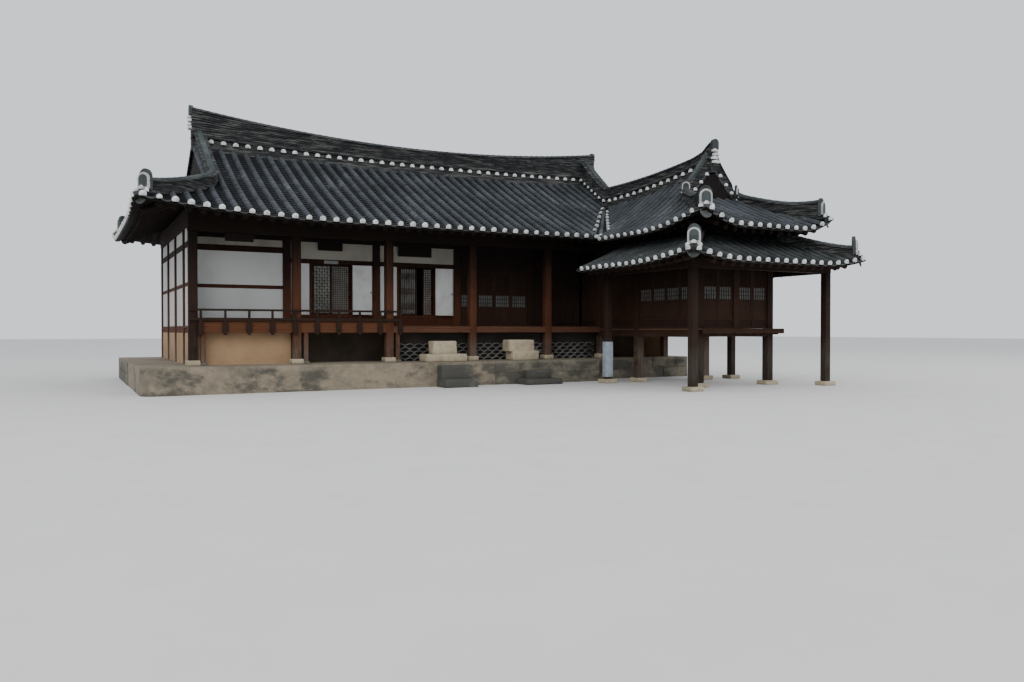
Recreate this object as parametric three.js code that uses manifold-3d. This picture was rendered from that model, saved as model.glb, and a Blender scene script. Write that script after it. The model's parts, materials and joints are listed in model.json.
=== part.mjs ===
// A hanok house: a long tiled wing on a stone platform, with a raised pavilion wing at its right end.
// Millimetres, +Z up, +X along the long wing, +Y into the house. Plan sizes start at the left front post.
import * as THREE from "three";
import { mergeVertices } from "three/addons/utils/BufferGeometryUtils.js";
import Module from "manifold-3d";

const wasm = await Module();
wasm.setup();

// Plan of the long wing
const BAY = 2400;
const LAST_BAY = 1880;
const PAVILION_BAY = 2400;
const FRONT_BAYS = 4;
const FRONT_Y = 0;
const INNER_Y = 1050;
const REAR_Y = 6200;
const HALL_X = FRONT_BAYS * BAY;
const BODY_LEFT_X = HALL_X + LAST_BAY;
const BODY_RIGHT_X = BODY_LEFT_X + PAVILION_BAY;
const BODY_X = (BODY_LEFT_X + BODY_RIGHT_X) / 2;

// Plan of the pavilion
const BODY_FRONT_Y = -4320;
const BODY_MIDDLE_Y = -1850;
const OUTER_ROW = 1050;
const OUTER_FRONT_Y = BODY_FRONT_Y - 1000;

// Timber and wall sections
const POST = 200;
const OUTER_POST = 180;
const REAR_POST = 180;
const PLASTER = 120;
const BEAM = 220;
const FRAME_GAP = 6;
const LEAF = 40;
const HINGE_OUT = 26;
const HINGE_IN = 2;
const HINGE_Y = INNER_Y - PLASTER / 2 - HINGE_OUT;
const HINGES_Z = [2100, 2900];
const PIN_RADIUS = 5;
const KNUCKLE_RADIUS = 11;
const KNUCKLE = 50;
const ARM = 12;
const STRAP = 60;
const PIN_SIDES = 12;
const BORE_GAP = 0.5;
const OPEN_ANGLE = Math.PI * 175 / 180;

// Heights
const PLATFORM_Z = 620;
const BASE_STONE = 120;
const FLOOR_UNDER_Z = 1380;
const FLOOR_Z = 1550;
const LINTEL_Z = 3760;
const DOOR_SILL_Z = 1850;
const DOOR_HEAD_Z = 3180;
const PAVILION_UNDER_Z = 1270;
const PAVILION_FLOOR_Z = 1490;
const PAVILION_PLATE_Z = 3900;
const OUTER_POST_TOP_Z = 2930;

// Platform outline
const PLATFORM_LEFT_X = -1190;
const PLATFORM_FRONT_Y = -1000;
const PLATFORM_STEP_X = 10730;
const PLATFORM_STEP_Y = -250;
const PLATFORM_RIGHT_X = 14600;
const PLATFORM_REAR_Y = 7150;
const PLATFORM_CORNER = 350;

// Main roof
const MAIN = {
  left: -1300,
  right: BODY_RIGHT_X + 950,
  front: -1200,
  rear: 7600,
  gable: 1750,
  eave: 4130,
  rise: 2200,
  ridgeLift: 200,
  cornerLift: 300,
  slab: 330,
  ridgeHalf: 150,
};
const MAIN_RIDGE_Y = (MAIN.front + MAIN.rear) / 2;
const MAIN_HALF = (MAIN.rear - MAIN.front) / 2;
const MAIN_MIDDLE_X = (MAIN.left + MAIN.right) / 2;
const RIDGE_TOP_Z = 7000;
const RIDGE_TOP_LIFT = 440;

// Upper roof of the pavilion
const UPPER = {
  half: 2150,
  front: -5650,
  gable: 2150,
  back: 2400,
  eave: 4060,
  rise: 1400,
  ridgeLift: 480,
  skirtRise: 950,
  cornerLift: 400,
  slab: 330,
  ridgeHalf: 130,
};

// Lower roof of the pavilion
const LOWER = {
  half: 2880,
  front: -6050,
  back: -1400,
  eave: 3180,
  rise: 760,
  cornerLift: 210,
  slab: 250,
};

// Curves of all roofs: how hollow a slope is, and where its eave starts to rise towards a corner
const HOLLOW = 0.08;
const CORNER_START = 0.45;
const CORNER_RUN = 2600;
const UPPER_MEETS_Y = 1500;
const LOWER_TOP_SHARE = 1.2;

// Gable walls, and the ridges that stand on the roofs
const GABLE_WALL = 150;
const GABLE_SEAT = 20;
const VERGE = 240;
const RIDGE_STEP = 700;
const RIDGE_SINK = 120;
const RIDGE_REACH = 60;
const MAIN_RIDGE_REACH = 220;
const CORNER_RIDGE = { height: 300, lift: 160, bend: 150, before: 300, after: 100, inset: 200 };
const BODY_RIDGE = {
  height: 560, tip: 250, flat: 750, tipLift: 220, bendLift: 50, meetLift: 100, rearLift: 300,
};
const UPPER_HIP = {
  height: 270, topLift: 220, footLift: 60, foot: 860, bend: 140, run: 330, endLift: 190, inset: [170, 200],
};
const LOWER_HIP = { height: 240, seat: 40, inset: 170 };
const ABOVE_ROOFS = 9000;

// Gap between pieces that meet on a cut or sloping face
const SEAT = 0.3;

// Posts, doorways and small pieces
const POSTS_X = Array.from({ length: FRONT_BAYS + 1 }, (_, i) => i * BAY);
const REAR_POSTS_X = [1, 2, 3, 4].map((i) => i * BAY).concat(BODY_LEFT_X);
const END_POSTS_Y = [INNER_Y + 1720, INNER_Y + 3440];
const POST_STONE = 300;
const POST_FOOT_Z = PLATFORM_Z + BASE_STONE;
const PAVILION_STONE_Z = 110;
const STONE_MARGIN = 200;
const LEDGE = 300;
const PLATE = 420;
const TIE = 160;
const TIE_Z = [LINTEL_Z + 60, LINTEL_Z + 300];
const INNER_PLATE_Z = LINTEL_Z + 40;
const UNDERFLOOR = [160, 280];
const VERANDAH_LEG = 110;
const VERANDAH_LEG_Y = [FRONT_Y - 90, FRONT_Y - 90 + VERANDAH_LEG];
const VERANDAH_LEGS_X = [0, BAY, 2 * BAY].map((x) => x + 220);
const RAIL = 50;
const RAILING_END_X = 2 * BAY + 320;
const RAILING_GAPS = 9;
const FIRST_STUD_X = POST / 2 + 60;
const RAILING_TOP_Z = 1950;
const RAILING_LOW_Z = 1740;
const RAILING_FOOT_Z = 1330;
const DOORWAYS = [
  { name: "bay_2", left: 3050, right: 4110 },
  { name: "bay_3", left: 5460, right: 6500 },
];
// Each pair has a lower and an upper stone: middle in X, width, depth and height over its ground
const FRONT_STEPS = {
  left: [{ x: 6160, width: 920, depth: 620, height: 210 }, { x: 6160, width: 880, depth: 320, height: 550 }],
  right: [{ x: 8580, width: 1120, depth: 620, height: 150 }, { x: 8590, width: 740, depth: 320, height: 370 }],
};
const STEPPING_STONES = {
  left: [{ x: 6150, width: 1150, depth: 560, height: 200 }, { x: 6190, width: 700, depth: 360, height: 540 }],
  right: [{ x: 8560, width: 800, depth: 500, height: 260 }, { x: 8450, width: 780, depth: 460, height: 560 }],
};
const STEPPING_REAR_Y = FRONT_Y - 130;

const TIMBER = new THREE.MeshStandardMaterial({ color: 0x4a2c1c, roughness: 0.8, metalness: 0 });
const STONE = new THREE.MeshStandardMaterial({ color: 0x9a8f7c, roughness: 0.9, metalness: 0 });
const WHITE = new THREE.MeshStandardMaterial({ color: 0xd8d6cf, roughness: 0.9, metalness: 0 });
const CLAY = new THREE.MeshStandardMaterial({ color: 0xb48a62, roughness: 0.9, metalness: 0 });
const TILE = new THREE.MeshStandardMaterial({ color: 0x454b54, roughness: 0.7, metalness: 0 });
const PAPER = new THREE.MeshStandardMaterial({ color: 0xe4e2da, roughness: 0.9, metalness: 0 });

const house = new THREE.Group();

function addPiece(name, geometry, material) {
  const mesh = new THREE.Mesh(geometry, material);
  mesh.name = name;
  house.add(mesh);
}

function block([x0, x1], [y0, y1], [z0, z1]) {
  const made = new THREE.BoxGeometry(x1 - x0, y1 - y0, z1 - z0);
  return made.translate((x0 + x1) / 2, (y0 + y1) / 2, (z0 + z1) / 2);
}

function around(centre, size) {
  return [centre - size / 2, centre + size / 2];
}

// Booleans
function toSolid(geometry) {
  const bare = geometry.clone();
  bare.deleteAttribute("normal");
  bare.deleteAttribute("uv");
  const merged = mergeVertices(bare, 1e-3);
  return new wasm.Manifold(new wasm.Mesh({
    numProp: 3,
    vertProperties: new Float32Array(merged.attributes.position.array),
    triVerts: new Uint32Array(merged.index.array),
  }));
}

function toGeometry(solid) {
  const mesh = solid.getMesh();
  const made = new THREE.BufferGeometry();
  made.setAttribute("position", new THREE.BufferAttribute(new Float32Array(mesh.vertProperties), 3));
  made.setIndex(new THREE.BufferAttribute(new Uint32Array(mesh.triVerts), 1));
  made.computeVertexNormals();
  return made;
}

function join(geometries) {
  const [first, ...others] = geometries.map(toSolid);
  return toGeometry(others.reduce((sum, next) => sum.add(next), first));
}

function cut(geometry, tools) {
  return toGeometry(tools.map(toSolid).reduce((left, tool) => left.subtract(tool), toSolid(geometry)));
}

// A closed sheet over a grid of plan stations, between an underside and a top
function sheet(xs, ys, top, underside) {
  const made = new THREE.BoxGeometry(1, 1, 1, xs.length - 1, ys.length - 1, 1);
  const at = made.attributes.position;
  for (let i = 0; i < at.count; i += 1) {
    const x = xs[Math.round((at.getX(i) + 0.5) * (xs.length - 1))];
    const y = ys[Math.round((at.getY(i) + 0.5) * (ys.length - 1))];
    at.setXYZ(i, x, y, at.getZ(i) > 0 ? top(x, y) : underside(x, y));
  }
  return made;
}

// A closed bar along plan stations: each gives x, y, its width, its bottom and its top
function bar(stations) {
  const made = new THREE.BoxGeometry(1, 1, 1, stations.length - 1, 1, 1);
  const at = made.attributes.position;
  const sides = stations.map((_, i) => {
    const before = stations[Math.max(i - 1, 0)];
    const after = stations[Math.min(i + 1, stations.length - 1)];
    return new THREE.Vector2(before.y - after.y, after.x - before.x).normalize();
  });
  for (let i = 0; i < at.count; i += 1) {
    const k = Math.round((at.getX(i) + 0.5) * (stations.length - 1));
    const { x, y, width, bottom, top } = stations[k];
    const reach = Math.sign(at.getY(i)) * width / 2;
    at.setXYZ(i, x + sides[k].x * reach, y + sides[k].y * reach, at.getZ(i) > 0 ? top : bottom);
  }
  return made;
}

function spread(from, to, count) {
  return Array.from({ length: count + 1 }, (_, i) => from + (to - from) * i / count);
}

function stationsOf(...lists) {
  const sorted = lists.flat().sort((a, b) => a - b);
  return sorted.filter((value, i) => i === 0 || value - sorted[i - 1] > 5);
}

// Roof forms
function sag(share) {
  return (1 - HOLLOW) * share + HOLLOW * share * share;
}

function cornerShare(offset) {
  return Math.max(0, (Math.abs(offset) - CORNER_START) / (1 - CORNER_START)) ** 2;
}

function mainSurface(x, y, gable) {
  const along = (x - MAIN_MIDDLE_X) / (MAIN.right - MAIN_MIDDLE_X);
  const across = (y - MAIN_RIDGE_Y) / MAIN_HALF;
  const toSide = Math.min(y - MAIN.front, MAIN.rear - y, MAIN_HALF - MAIN.ridgeHalf);
  const toEnd = Math.min(x - MAIN.left, MAIN.right - x);
  const share = Math.min(toSide, toEnd > gable ? toSide : toEnd) / MAIN_HALF;
  const free = along > 0 && across < 0 ? 0 : MAIN.cornerLift;
  return MAIN.eave + MAIN.rise * sag(share) + MAIN.ridgeLift * along ** 2 * share ** 3
    + free * cornerShare(along) * cornerShare(across);
}

const mainTop = (x, y) => mainSurface(x, y, MAIN.gable + GABLE_SEAT / 2);
const mainUnder = (x, y) => mainSurface(x, y, MAIN.gable + GABLE_WALL + 1.5 * GABLE_SEAT) - MAIN.slab;

function upperSurface(x, y, gable) {
  const across = (x - BODY_X) / UPPER.half;
  const share = (UPPER.half - Math.max(Math.abs(x - BODY_X), UPPER.ridgeHalf)) / UPPER.half;
  const along = Math.max(0, (UPPER_MEETS_Y - y) / (UPPER_MEETS_Y - UPPER.front - UPPER.gable));
  const side = UPPER.rise * sag(share) + UPPER.ridgeLift * along ** 2 * share ** 3;
  const toFront = y - UPPER.front;
  const skirt = toFront > gable ? side : UPPER.skirtRise * sag(toFront / UPPER.half);
  const lift = UPPER.cornerLift * cornerShare(across) * Math.max(0, 1 - toFront / CORNER_RUN) ** 2;
  return UPPER.eave + Math.min(side, skirt) + lift;
}

const upperTop = (x, y) => upperSurface(x, y, UPPER.gable + GABLE_SEAT / 2);
const upperUnder = (x, y) => upperSurface(x, y, UPPER.gable + GABLE_WALL + 1.5 * GABLE_SEAT) - UPPER.slab;

function lowerTop(x, y) {
  const across = Math.abs(x - BODY_X);
  const toEave = Math.min(LOWER.half - across, y - LOWER.front);
  const depth = LOWER.half - PAVILION_BAY / 2;
  const lift = LOWER.cornerLift * cornerShare(across / LOWER.half)
    * Math.max(0, 1 - (y - LOWER.front) / CORNER_RUN) ** 2;
  return LOWER.eave + LOWER.rise * sag(Math.min(toEave / depth, LOWER_TOP_SHARE)) + lift;
}

const lowerUnder = (x, y) => lowerTop(x, y) - LOWER.slab;

// Roof grids, with a pair of close stations at each gable wall's faces
const EDGE = BEAM / 2;
const gableFaces = (line, way) => (
  [0, GABLE_SEAT, GABLE_WALL + GABLE_SEAT, GABLE_WALL + 2 * GABLE_SEAT].map((d) => line + way * d)
);
const mainXs = stationsOf(
  spread(MAIN.left, MAIN.left + MAIN.gable, 4),
  [-EDGE, BODY_RIGHT_X + EDGE],
  gableFaces(MAIN.left + MAIN.gable, 1),
  spread(MAIN.left + MAIN.gable + 900, MAIN.right - MAIN.gable - 900, 9),
  gableFaces(MAIN.right - MAIN.gable, -1),
  spread(MAIN.right - MAIN.gable, MAIN.right, 4),
);
const mainYs = stationsOf(
  spread(MAIN.front, MAIN_RIDGE_Y - MAIN.ridgeHalf, 6),
  [-EDGE, REAR_Y + EDGE],
  spread(MAIN_RIDGE_Y + MAIN.ridgeHalf, MAIN.rear, 6),
);
const upperXs = stationsOf(
  spread(BODY_X - UPPER.half, BODY_X - UPPER.ridgeHalf, 5),
  [BODY_LEFT_X - EDGE, BODY_RIGHT_X + EDGE],
  spread(BODY_X + UPPER.ridgeHalf, BODY_X + UPPER.half, 5),
);
const upperYs = stationsOf(
  spread(UPPER.front, UPPER.front + UPPER.gable, 4),
  [BODY_FRONT_Y - EDGE],
  gableFaces(UPPER.front + UPPER.gable, 1),
  spread(UPPER.front + UPPER.gable + 800, UPPER.back, 5),
);
const LOWER_BEAM_X = PAVILION_BAY / 2 + OUTER_ROW + OUTER_POST / 2;
const lowerXs = stationsOf(
  spread(BODY_X - LOWER.half, BODY_LEFT_X, 4),
  [BODY_X - LOWER_BEAM_X, BODY_X + LOWER_BEAM_X],
  spread(BODY_LEFT_X, BODY_RIGHT_X, 4),
  spread(BODY_RIGHT_X, BODY_X + LOWER.half, 4),
);
const lowerYs = stationsOf(
  spread(LOWER.front, BODY_FRONT_Y, 4),
  [OUTER_FRONT_Y - OUTER_POST / 2],
  spread(BODY_FRONT_Y, LOWER.back, 3),
);

// Heights where the roofs sit on their beams
const FRONT_PLATE_Z = mainUnder(MAIN_MIDDLE_X, FRONT_Y - EDGE) - SEAT;
const REAR_PLATE_Z = mainUnder(MAIN_MIDDLE_X, REAR_Y + EDGE) - SEAT;
const LEFT_PLATE_Z = mainUnder(-EDGE, MAIN_RIDGE_Y) - SEAT;
const RIGHT_PLATE_Z = mainUnder(BODY_RIGHT_X + EDGE, MAIN_RIDGE_Y) - SEAT;
const BODY_SIDE_PLATE_Z = upperUnder(BODY_LEFT_X - EDGE, UPPER_MEETS_Y) - SEAT;
const BODY_FRONT_PLATE_Z = upperUnder(BODY_X, BODY_FRONT_Y - EDGE) - SEAT;
const LOWER_BEAM_Z = lowerUnder(BODY_X - LOWER_BEAM_X, LOWER.back) - SEAT;

// Stone platform with its rounded left corner
function platform() {
  const outline = new THREE.Shape();
  outline.moveTo(PLATFORM_LEFT_X + PLATFORM_CORNER, PLATFORM_FRONT_Y);
  outline.lineTo(PLATFORM_STEP_X, PLATFORM_FRONT_Y);
  outline.lineTo(PLATFORM_STEP_X, PLATFORM_STEP_Y);
  outline.lineTo(PLATFORM_RIGHT_X, PLATFORM_STEP_Y);
  outline.lineTo(PLATFORM_RIGHT_X, PLATFORM_REAR_Y);
  outline.lineTo(PLATFORM_LEFT_X, PLATFORM_REAR_Y);
  outline.lineTo(PLATFORM_LEFT_X, PLATFORM_FRONT_Y + PLATFORM_CORNER);
  outline.absarc(
    PLATFORM_LEFT_X + PLATFORM_CORNER, PLATFORM_FRONT_Y + PLATFORM_CORNER,
    PLATFORM_CORNER, Math.PI, 1.5 * Math.PI, false,
  );
  return new THREE.ExtrudeGeometry(outline, {
    depth: PLATFORM_Z, bevelEnabled: false, curveSegments: 4,
  });
}

// A square post on its stone
function standingPost(x, y, size, stone, [foot, stoneTop, top]) {
  return join([
    block(around(x, stone), around(y, stone), [foot, stoneTop]),
    block(around(x, size), around(y, size), [foot, top]),
  ]);
}

// Two stones against the same rear line, the upper one's front set back
function steppedStones(stones, rear, bottom) {
  return join(stones.map(({ x, width, depth, height }) => block(
    around(x, width), [rear - depth, rear], [bottom, bottom + height],
  )));
}

// Long wing
function verandahFloor() {
  const deck = block(
    [-POST / 2, BODY_LEFT_X - POST / 2 - SEAT], [FRONT_Y - POST / 2, INNER_Y - POST / 2 - SEAT],
    [FLOOR_UNDER_Z, FLOOR_Z],
  );
  const legs = VERANDAH_LEGS_X.map((x) => block(
    around(x, VERANDAH_LEG), VERANDAH_LEG_Y, [PLATFORM_Z, FLOOR_UNDER_Z + VERANDAH_LEG],
  ));
  const notches = POSTS_X.map((x) => block(
    around(x, POST + 2 * SEAT), [FRONT_Y - POST, FRONT_Y + POST / 2 + SEAT], [0, LINTEL_Z],
  ));
  const corner = block([-POST, REAR_POST / 2 + SEAT], [FRONT_Y, INNER_Y], [0, LINTEL_Z]);
  return cut(join([deck, ...legs]), [...notches, corner]);
}

function verandahRailing() {
  const depth = [FRONT_Y - POST / 2 - RAIL - SEAT, FRONT_Y - POST / 2 - SEAT];
  const run = [-POST / 2, RAILING_END_X];
  const studs = spread(FIRST_STUD_X, RAILING_END_X - RAIL, RAILING_GAPS).map((x) => block(
    around(x, RAIL), depth, [RAILING_FOOT_Z, RAILING_TOP_Z],
  ));
  return join([
    block(run, depth, [RAILING_TOP_Z - RAIL, RAILING_TOP_Z]),
    block(run, depth, [RAILING_LOW_Z - RAIL, RAILING_LOW_Z]),
    ...studs,
  ]);
}

function frontBeam() {
  const ties = POSTS_X.slice(1).map((x) => block(
    around(x, TIE), [FRONT_Y, INNER_Y - POST / 2 - SEAT], TIE_Z,
  ));
  return join([
    block([-EDGE, BODY_LEFT_X - POST / 2 - SEAT], around(FRONT_Y, BEAM), [LINTEL_Z, FRONT_PLATE_Z]),
    ...ties,
  ]);
}

function innerWall(from, to, posts, pins = []) {
  return join([
    block([from, to], around(INNER_Y, PLASTER), [FLOOR_Z, DOOR_HEAD_Z]),
    ...posts.map((x) => block(around(x, POST), around(INNER_Y, POST), [FLOOR_Z, DOOR_HEAD_Z])),
    ...pins,
  ]);
}

function innerMiddle() {
  const [first, second] = DOORWAYS;
  const sill = [FLOOR_Z, DOOR_SILL_Z];
  return join([
    innerWall(first.right, second.left, [2 * BAY], [
      ...hingePins(first, false), ...hingePins(second, true),
    ]),
    block([first.left + SEAT, second.right - SEAT], around(INNER_Y, PLASTER), sill),
  ]);
}

function innerHead() {
  const run = [EDGE + SEAT, BODY_LEFT_X - POST / 2 - SEAT];
  const bottom = DOOR_HEAD_Z + SEAT;
  return join([
    block(run, around(INNER_Y, PLASTER), [bottom, FRONT_PLATE_Z]),
    block(run, around(INNER_Y, POST), [INNER_PLATE_Z, FRONT_PLATE_Z]),
    ...POSTS_X.slice(1).map((x) => block(
      around(x, POST), around(INNER_Y, POST), [bottom, FRONT_PLATE_Z],
    )),
  ]);
}

// A plaster wall with a plate along its top, a sill at the floor and posts standing proud of it
function postedWall(alongX, run, line, top, posts) {
  const place = (span, depth, height) => (
    alongX ? block(span, around(line, depth), height) : block(around(line, depth), span, height)
  );
  return join([
    place(run, PLASTER, [PLATFORM_Z + SEAT, top]),
    place(run, BEAM, [top - PLATE, top]),
    place(run, REAR_POST, [FLOOR_UNDER_Z, FLOOR_Z]),
    ...posts.map((at) => place(around(at, REAR_POST), REAR_POST, [PLATFORM_Z + SEAT, top])),
  ]);
}

// Hinge pins stand outside the wall face, each on an arm that is part of the wall
const hingeX = ({ left, right }, hungLeft) => (hungLeft ? left - HINGE_IN : right + HINGE_IN);
const upright = (radius, [z0, z1]) => new THREE.CylinderGeometry(radius, radius, z1 - z0, PIN_SIDES)
  .rotateX(Math.PI / 2).translate(0, 0, (z0 + z1) / 2);

function hingePins(doorway, hungLeft) {
  const way = hungLeft ? 1 : -1;
  return HINGES_Z.flatMap((z) => [
    upright(PIN_RADIUS, [z - ARM, z + KNUCKLE]),
    block(way > 0 ? [-ARM, 0] : [0, ARM], [1 - PIN_RADIUS, HINGE_OUT + 10], [z - ARM, z]),
  ]).map((piece) => piece.translate(hingeX(doorway, hungLeft), HINGE_Y, 0));
}

// A door leaf with its two knuckles, swung open by an angle
function doorLeaf(doorway, hungLeft, angle) {
  const way = hungLeft ? 1 : -1;
  const width = (doorway.right - doorway.left) / 2 - 1.5 * FRAME_GAP;
  const start = FRAME_GAP + HINGE_IN;
  const run = (from, to) => (hungLeft ? [from, to] : [-to, -from]);
  const leaf = block(
    run(start, start + width), [start, start + LEAF],
    [DOOR_SILL_Z + FRAME_GAP, DOOR_HEAD_Z - FRAME_GAP],
  );
  const knuckles = HINGES_Z.flatMap((z) => [
    upright(KNUCKLE_RADIUS, [z + SEAT, z + KNUCKLE]),
    block(run(0, STRAP), [PIN_RADIUS + 1, start + 2], [z + SEAT, z + KNUCKLE]),
  ]);
  const bores = HINGES_Z.map((z) => upright(PIN_RADIUS + BORE_GAP, [z - 1, z + KNUCKLE + 1]));
  return cut(join([leaf, ...knuckles]), bores)
    .rotateZ(-way * angle).translate(hingeX(doorway, hungLeft), HINGE_Y, 0);
}

// Ridges stand on a roof: their undersides are cut to its slopes
const blockUnder = (xs, ys, top) => sheet(xs, ys, (x, y) => top(x, y) + SEAT, () => 0);

function ridgeOn(surface, path, width, height, tools) {
  const stations = path.flatMap(([x, y, extra = 0], i) => {
    const next = path[i + 1];
    const count = next ? Math.max(1, Math.round(Math.hypot(next[0] - x, next[1] - y) / RIDGE_STEP)) : 1;
    return Array.from({ length: next ? count : 1 }, (_, k) => {
      const at = (from, to) => from + (to - from) * k / count;
      return { x: at(x, next?.[0] ?? x), y: at(y, next?.[1] ?? y), extra: at(extra, next?.[2] ?? extra) };
    });
  });
  return cut(bar(stations.map(({ x, y, extra }) => {
    const foot = surface(x, y);
    return { x, y, width, bottom: foot - RIDGE_SINK, top: foot + height + extra };
  })), tools);
}

function mainRidge() {
  const from = MAIN.left + MAIN.gable;
  const to = MAIN.right - MAIN.gable;
  const xs = mainXs.filter((x) => x >= from + GABLE_SEAT && x <= to - GABLE_SEAT);
  return bar([from - RIDGE_REACH, ...xs, to + MAIN_RIDGE_REACH].map((x) => {
    const near = Math.min(Math.max(x, from + GABLE_SEAT), to - GABLE_SEAT);
    return {
      x,
      y: MAIN_RIDGE_Y,
      width: 2 * MAIN.ridgeHalf,
      bottom: mainTop(near, MAIN_RIDGE_Y) + SEAT,
      top: RIDGE_TOP_Z + RIDGE_TOP_LIFT * ((x - MAIN_MIDDLE_X) / (to - MAIN_MIDDLE_X)) ** 2,
    };
  }));
}

// A verge ridge down the gable and on down the hip to the eave's corner
function cornerRidge(x, rear) {
  const left = x < MAIN_MIDDLE_X;
  const way = rear ? -1 : 1;
  const start = MAIN_RIDGE_Y - way * (MAIN.ridgeHalf + SEAT);
  const foot = rear ? MAIN.rear - MAIN.gable : MAIN.front + MAIN.gable;
  const eaveX = left ? MAIN.left : MAIN.right;
  const eaveY = rear ? MAIN.rear : MAIN.front;
  const inward = left ? 1 : -1;
  const verge = x + inward * (GABLE_SEAT + VERGE / 2);
  const { height, lift, bend, before, after, inset } = CORNER_RIDGE;
  return ridgeOn(mainTop, [
    [verge, start, lift],
    [verge, foot + way * before],
    [verge - inward * bend, foot - way * after],
    [eaveX + inward * inset, eaveY + way * inset],
  ], VERGE, height, [blockUnder(mainXs, mainYs, mainTop)]);
}

// Raised pavilion
function pavilionFloor() {
  const deck = block(
    [BODY_LEFT_X - POST / 2, BODY_RIGHT_X + LEDGE], [BODY_FRONT_Y - LEDGE, INNER_Y - PLASTER / 2 - SEAT],
    [PAVILION_UNDER_Z, PAVILION_FLOOR_Z],
  );
  const hole = (x, y) => block(
    around(x, POST + 2 * SEAT), around(y, POST + 2 * SEAT), [0, LINTEL_Z],
  );
  const rearWall = block(
    [BODY_RIGHT_X - REAR_POST / 2 - SEAT, BODY_RIGHT_X + LEDGE + 1],
    [FRONT_Y - POST / 2 - SEAT, INNER_Y], [0, LINTEL_Z],
  );
  return cut(deck, [
    hole(BODY_LEFT_X, BODY_FRONT_Y), hole(BODY_RIGHT_X, BODY_FRONT_Y),
    hole(BODY_LEFT_X, BODY_MIDDLE_Y), hole(BODY_RIGHT_X, BODY_MIDDLE_Y),
    hole(BODY_LEFT_X, FRONT_Y), rearWall,
  ]);
}

function bodySideWall(x, to, posts) {
  const run = [BODY_FRONT_Y + POST / 2 + SEAT, to];
  return join([
    block(around(x, PLASTER), run, [PAVILION_FLOOR_Z + SEAT, PAVILION_PLATE_Z]),
    ...posts.map(([y, foot]) => block(around(x, POST), around(y, POST), [foot, PAVILION_PLATE_Z])),
  ]);
}

function bodyFrontWall() {
  return join([
    block(
      [BODY_LEFT_X + POST / 2 + SEAT, BODY_RIGHT_X - POST / 2 - SEAT], around(BODY_FRONT_Y, PLASTER),
      [PAVILION_FLOOR_Z + SEAT, PAVILION_PLATE_Z],
    ),
    block(
      around(BODY_X, OUTER_POST), around(BODY_FRONT_Y, OUTER_POST),
      [PAVILION_FLOOR_Z + SEAT, PAVILION_PLATE_Z],
    ),
  ]);
}

function bodyPlate() {
  const bottom = PAVILION_PLATE_Z + SEAT;
  const side = (x) => block(
    around(x, BEAM), [BODY_FRONT_Y - EDGE, FRONT_Y - EDGE - SEAT], [bottom, BODY_SIDE_PLATE_Z],
  );
  return join([
    side(BODY_LEFT_X),
    side(BODY_RIGHT_X),
    block([BODY_LEFT_X, BODY_RIGHT_X], around(BODY_FRONT_Y, BEAM), [bottom, BODY_SIDE_PLATE_Z]),
    block(
      around(BODY_X, PAVILION_BAY - BEAM), around(BODY_FRONT_Y, BEAM),
      [bottom, BODY_FRONT_PLATE_Z],
    ),
  ]);
}

function lowerBeams() {
  const height = [OUTER_POST_TOP_Z + SEAT, LOWER_BEAM_Z];
  const left = BODY_LEFT_X - OUTER_ROW;
  const right = BODY_RIGHT_X + OUTER_ROW;
  const side = (x) => block(
    around(x, OUTER_POST), [OUTER_FRONT_Y - OUTER_POST / 2, BODY_MIDDLE_Y + OUTER_POST / 2], height,
  );
  return join([
    side(left),
    side(right),
    block([left, right], around(OUTER_FRONT_Y, OUTER_POST), height),
  ]);
}

function lowerRoof() {
  const body = block(
    [BODY_LEFT_X - EDGE - SEAT, BODY_RIGHT_X + EDGE + SEAT],
    [BODY_FRONT_Y - EDGE - SEAT, REAR_Y], [0, ABOVE_ROOFS],
  );
  return cut(sheet(lowerXs, lowerYs, lowerTop, lowerUnder), [body]);
}

function pavilionRidge(tools) {
  const gableY = UPPER.front + UPPER.gable;
  const surface = (x, y) => Math.max(upperTop(x, Math.max(y, gableY + GABLE_SEAT)), mainTop(x, y));
  const { height, tip, flat, tipLift, bendLift, meetLift, rearLift } = BODY_RIDGE;
  const rearY = MAIN_RIDGE_Y - MAIN.ridgeHalf - SEAT;
  return ridgeOn(surface, [
    [BODY_X, gableY - RIDGE_REACH, tipLift],
    [BODY_X, gableY + tip, bendLift],
    [BODY_X, gableY + flat],
    [BODY_X, UPPER_MEETS_Y, meetLift],
    [MAIN.right - MAIN.gable - GABLE_SEAT - VERGE / 2, rearY, rearLift],
  ], 2 * UPPER.ridgeHalf, height, [...tools, block(
    [MAIN.left, MAIN.right], [rearY, MAIN.rear], [0, ABOVE_ROOFS],
  )]);
}

function upperHip(way, tools) {
  const gableY = UPPER.front + UPPER.gable + GABLE_SEAT + VERGE / 2;
  const { height, topLift, footLift, foot, bend, run, endLift, inset } = UPPER_HIP;
  return ridgeOn(upperTop, [
    [BODY_X + way * (UPPER.ridgeHalf + SEAT), gableY, topLift],
    [BODY_X + way * foot, gableY, footLift],
    [BODY_X + way * (foot + bend), gableY - run],
    [BODY_X + way * (UPPER.half - inset[0]), UPPER.front + inset[1], endLift],
  ], VERGE, height, tools);
}

function lowerHip(way) {
  const clear = POST / 2 + LOWER_HIP.seat;
  const { inset } = LOWER_HIP;
  return ridgeOn(lowerTop, [
    [BODY_X + way * (PAVILION_BAY / 2 + clear), LOWER.front + LOWER.half - PAVILION_BAY / 2 - clear],
    [BODY_X + way * (LOWER.half - inset), LOWER.front + inset],
  ], VERGE, LOWER_HIP.height, [blockUnder(lowerXs, lowerYs, lowerTop)]);
}

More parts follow.
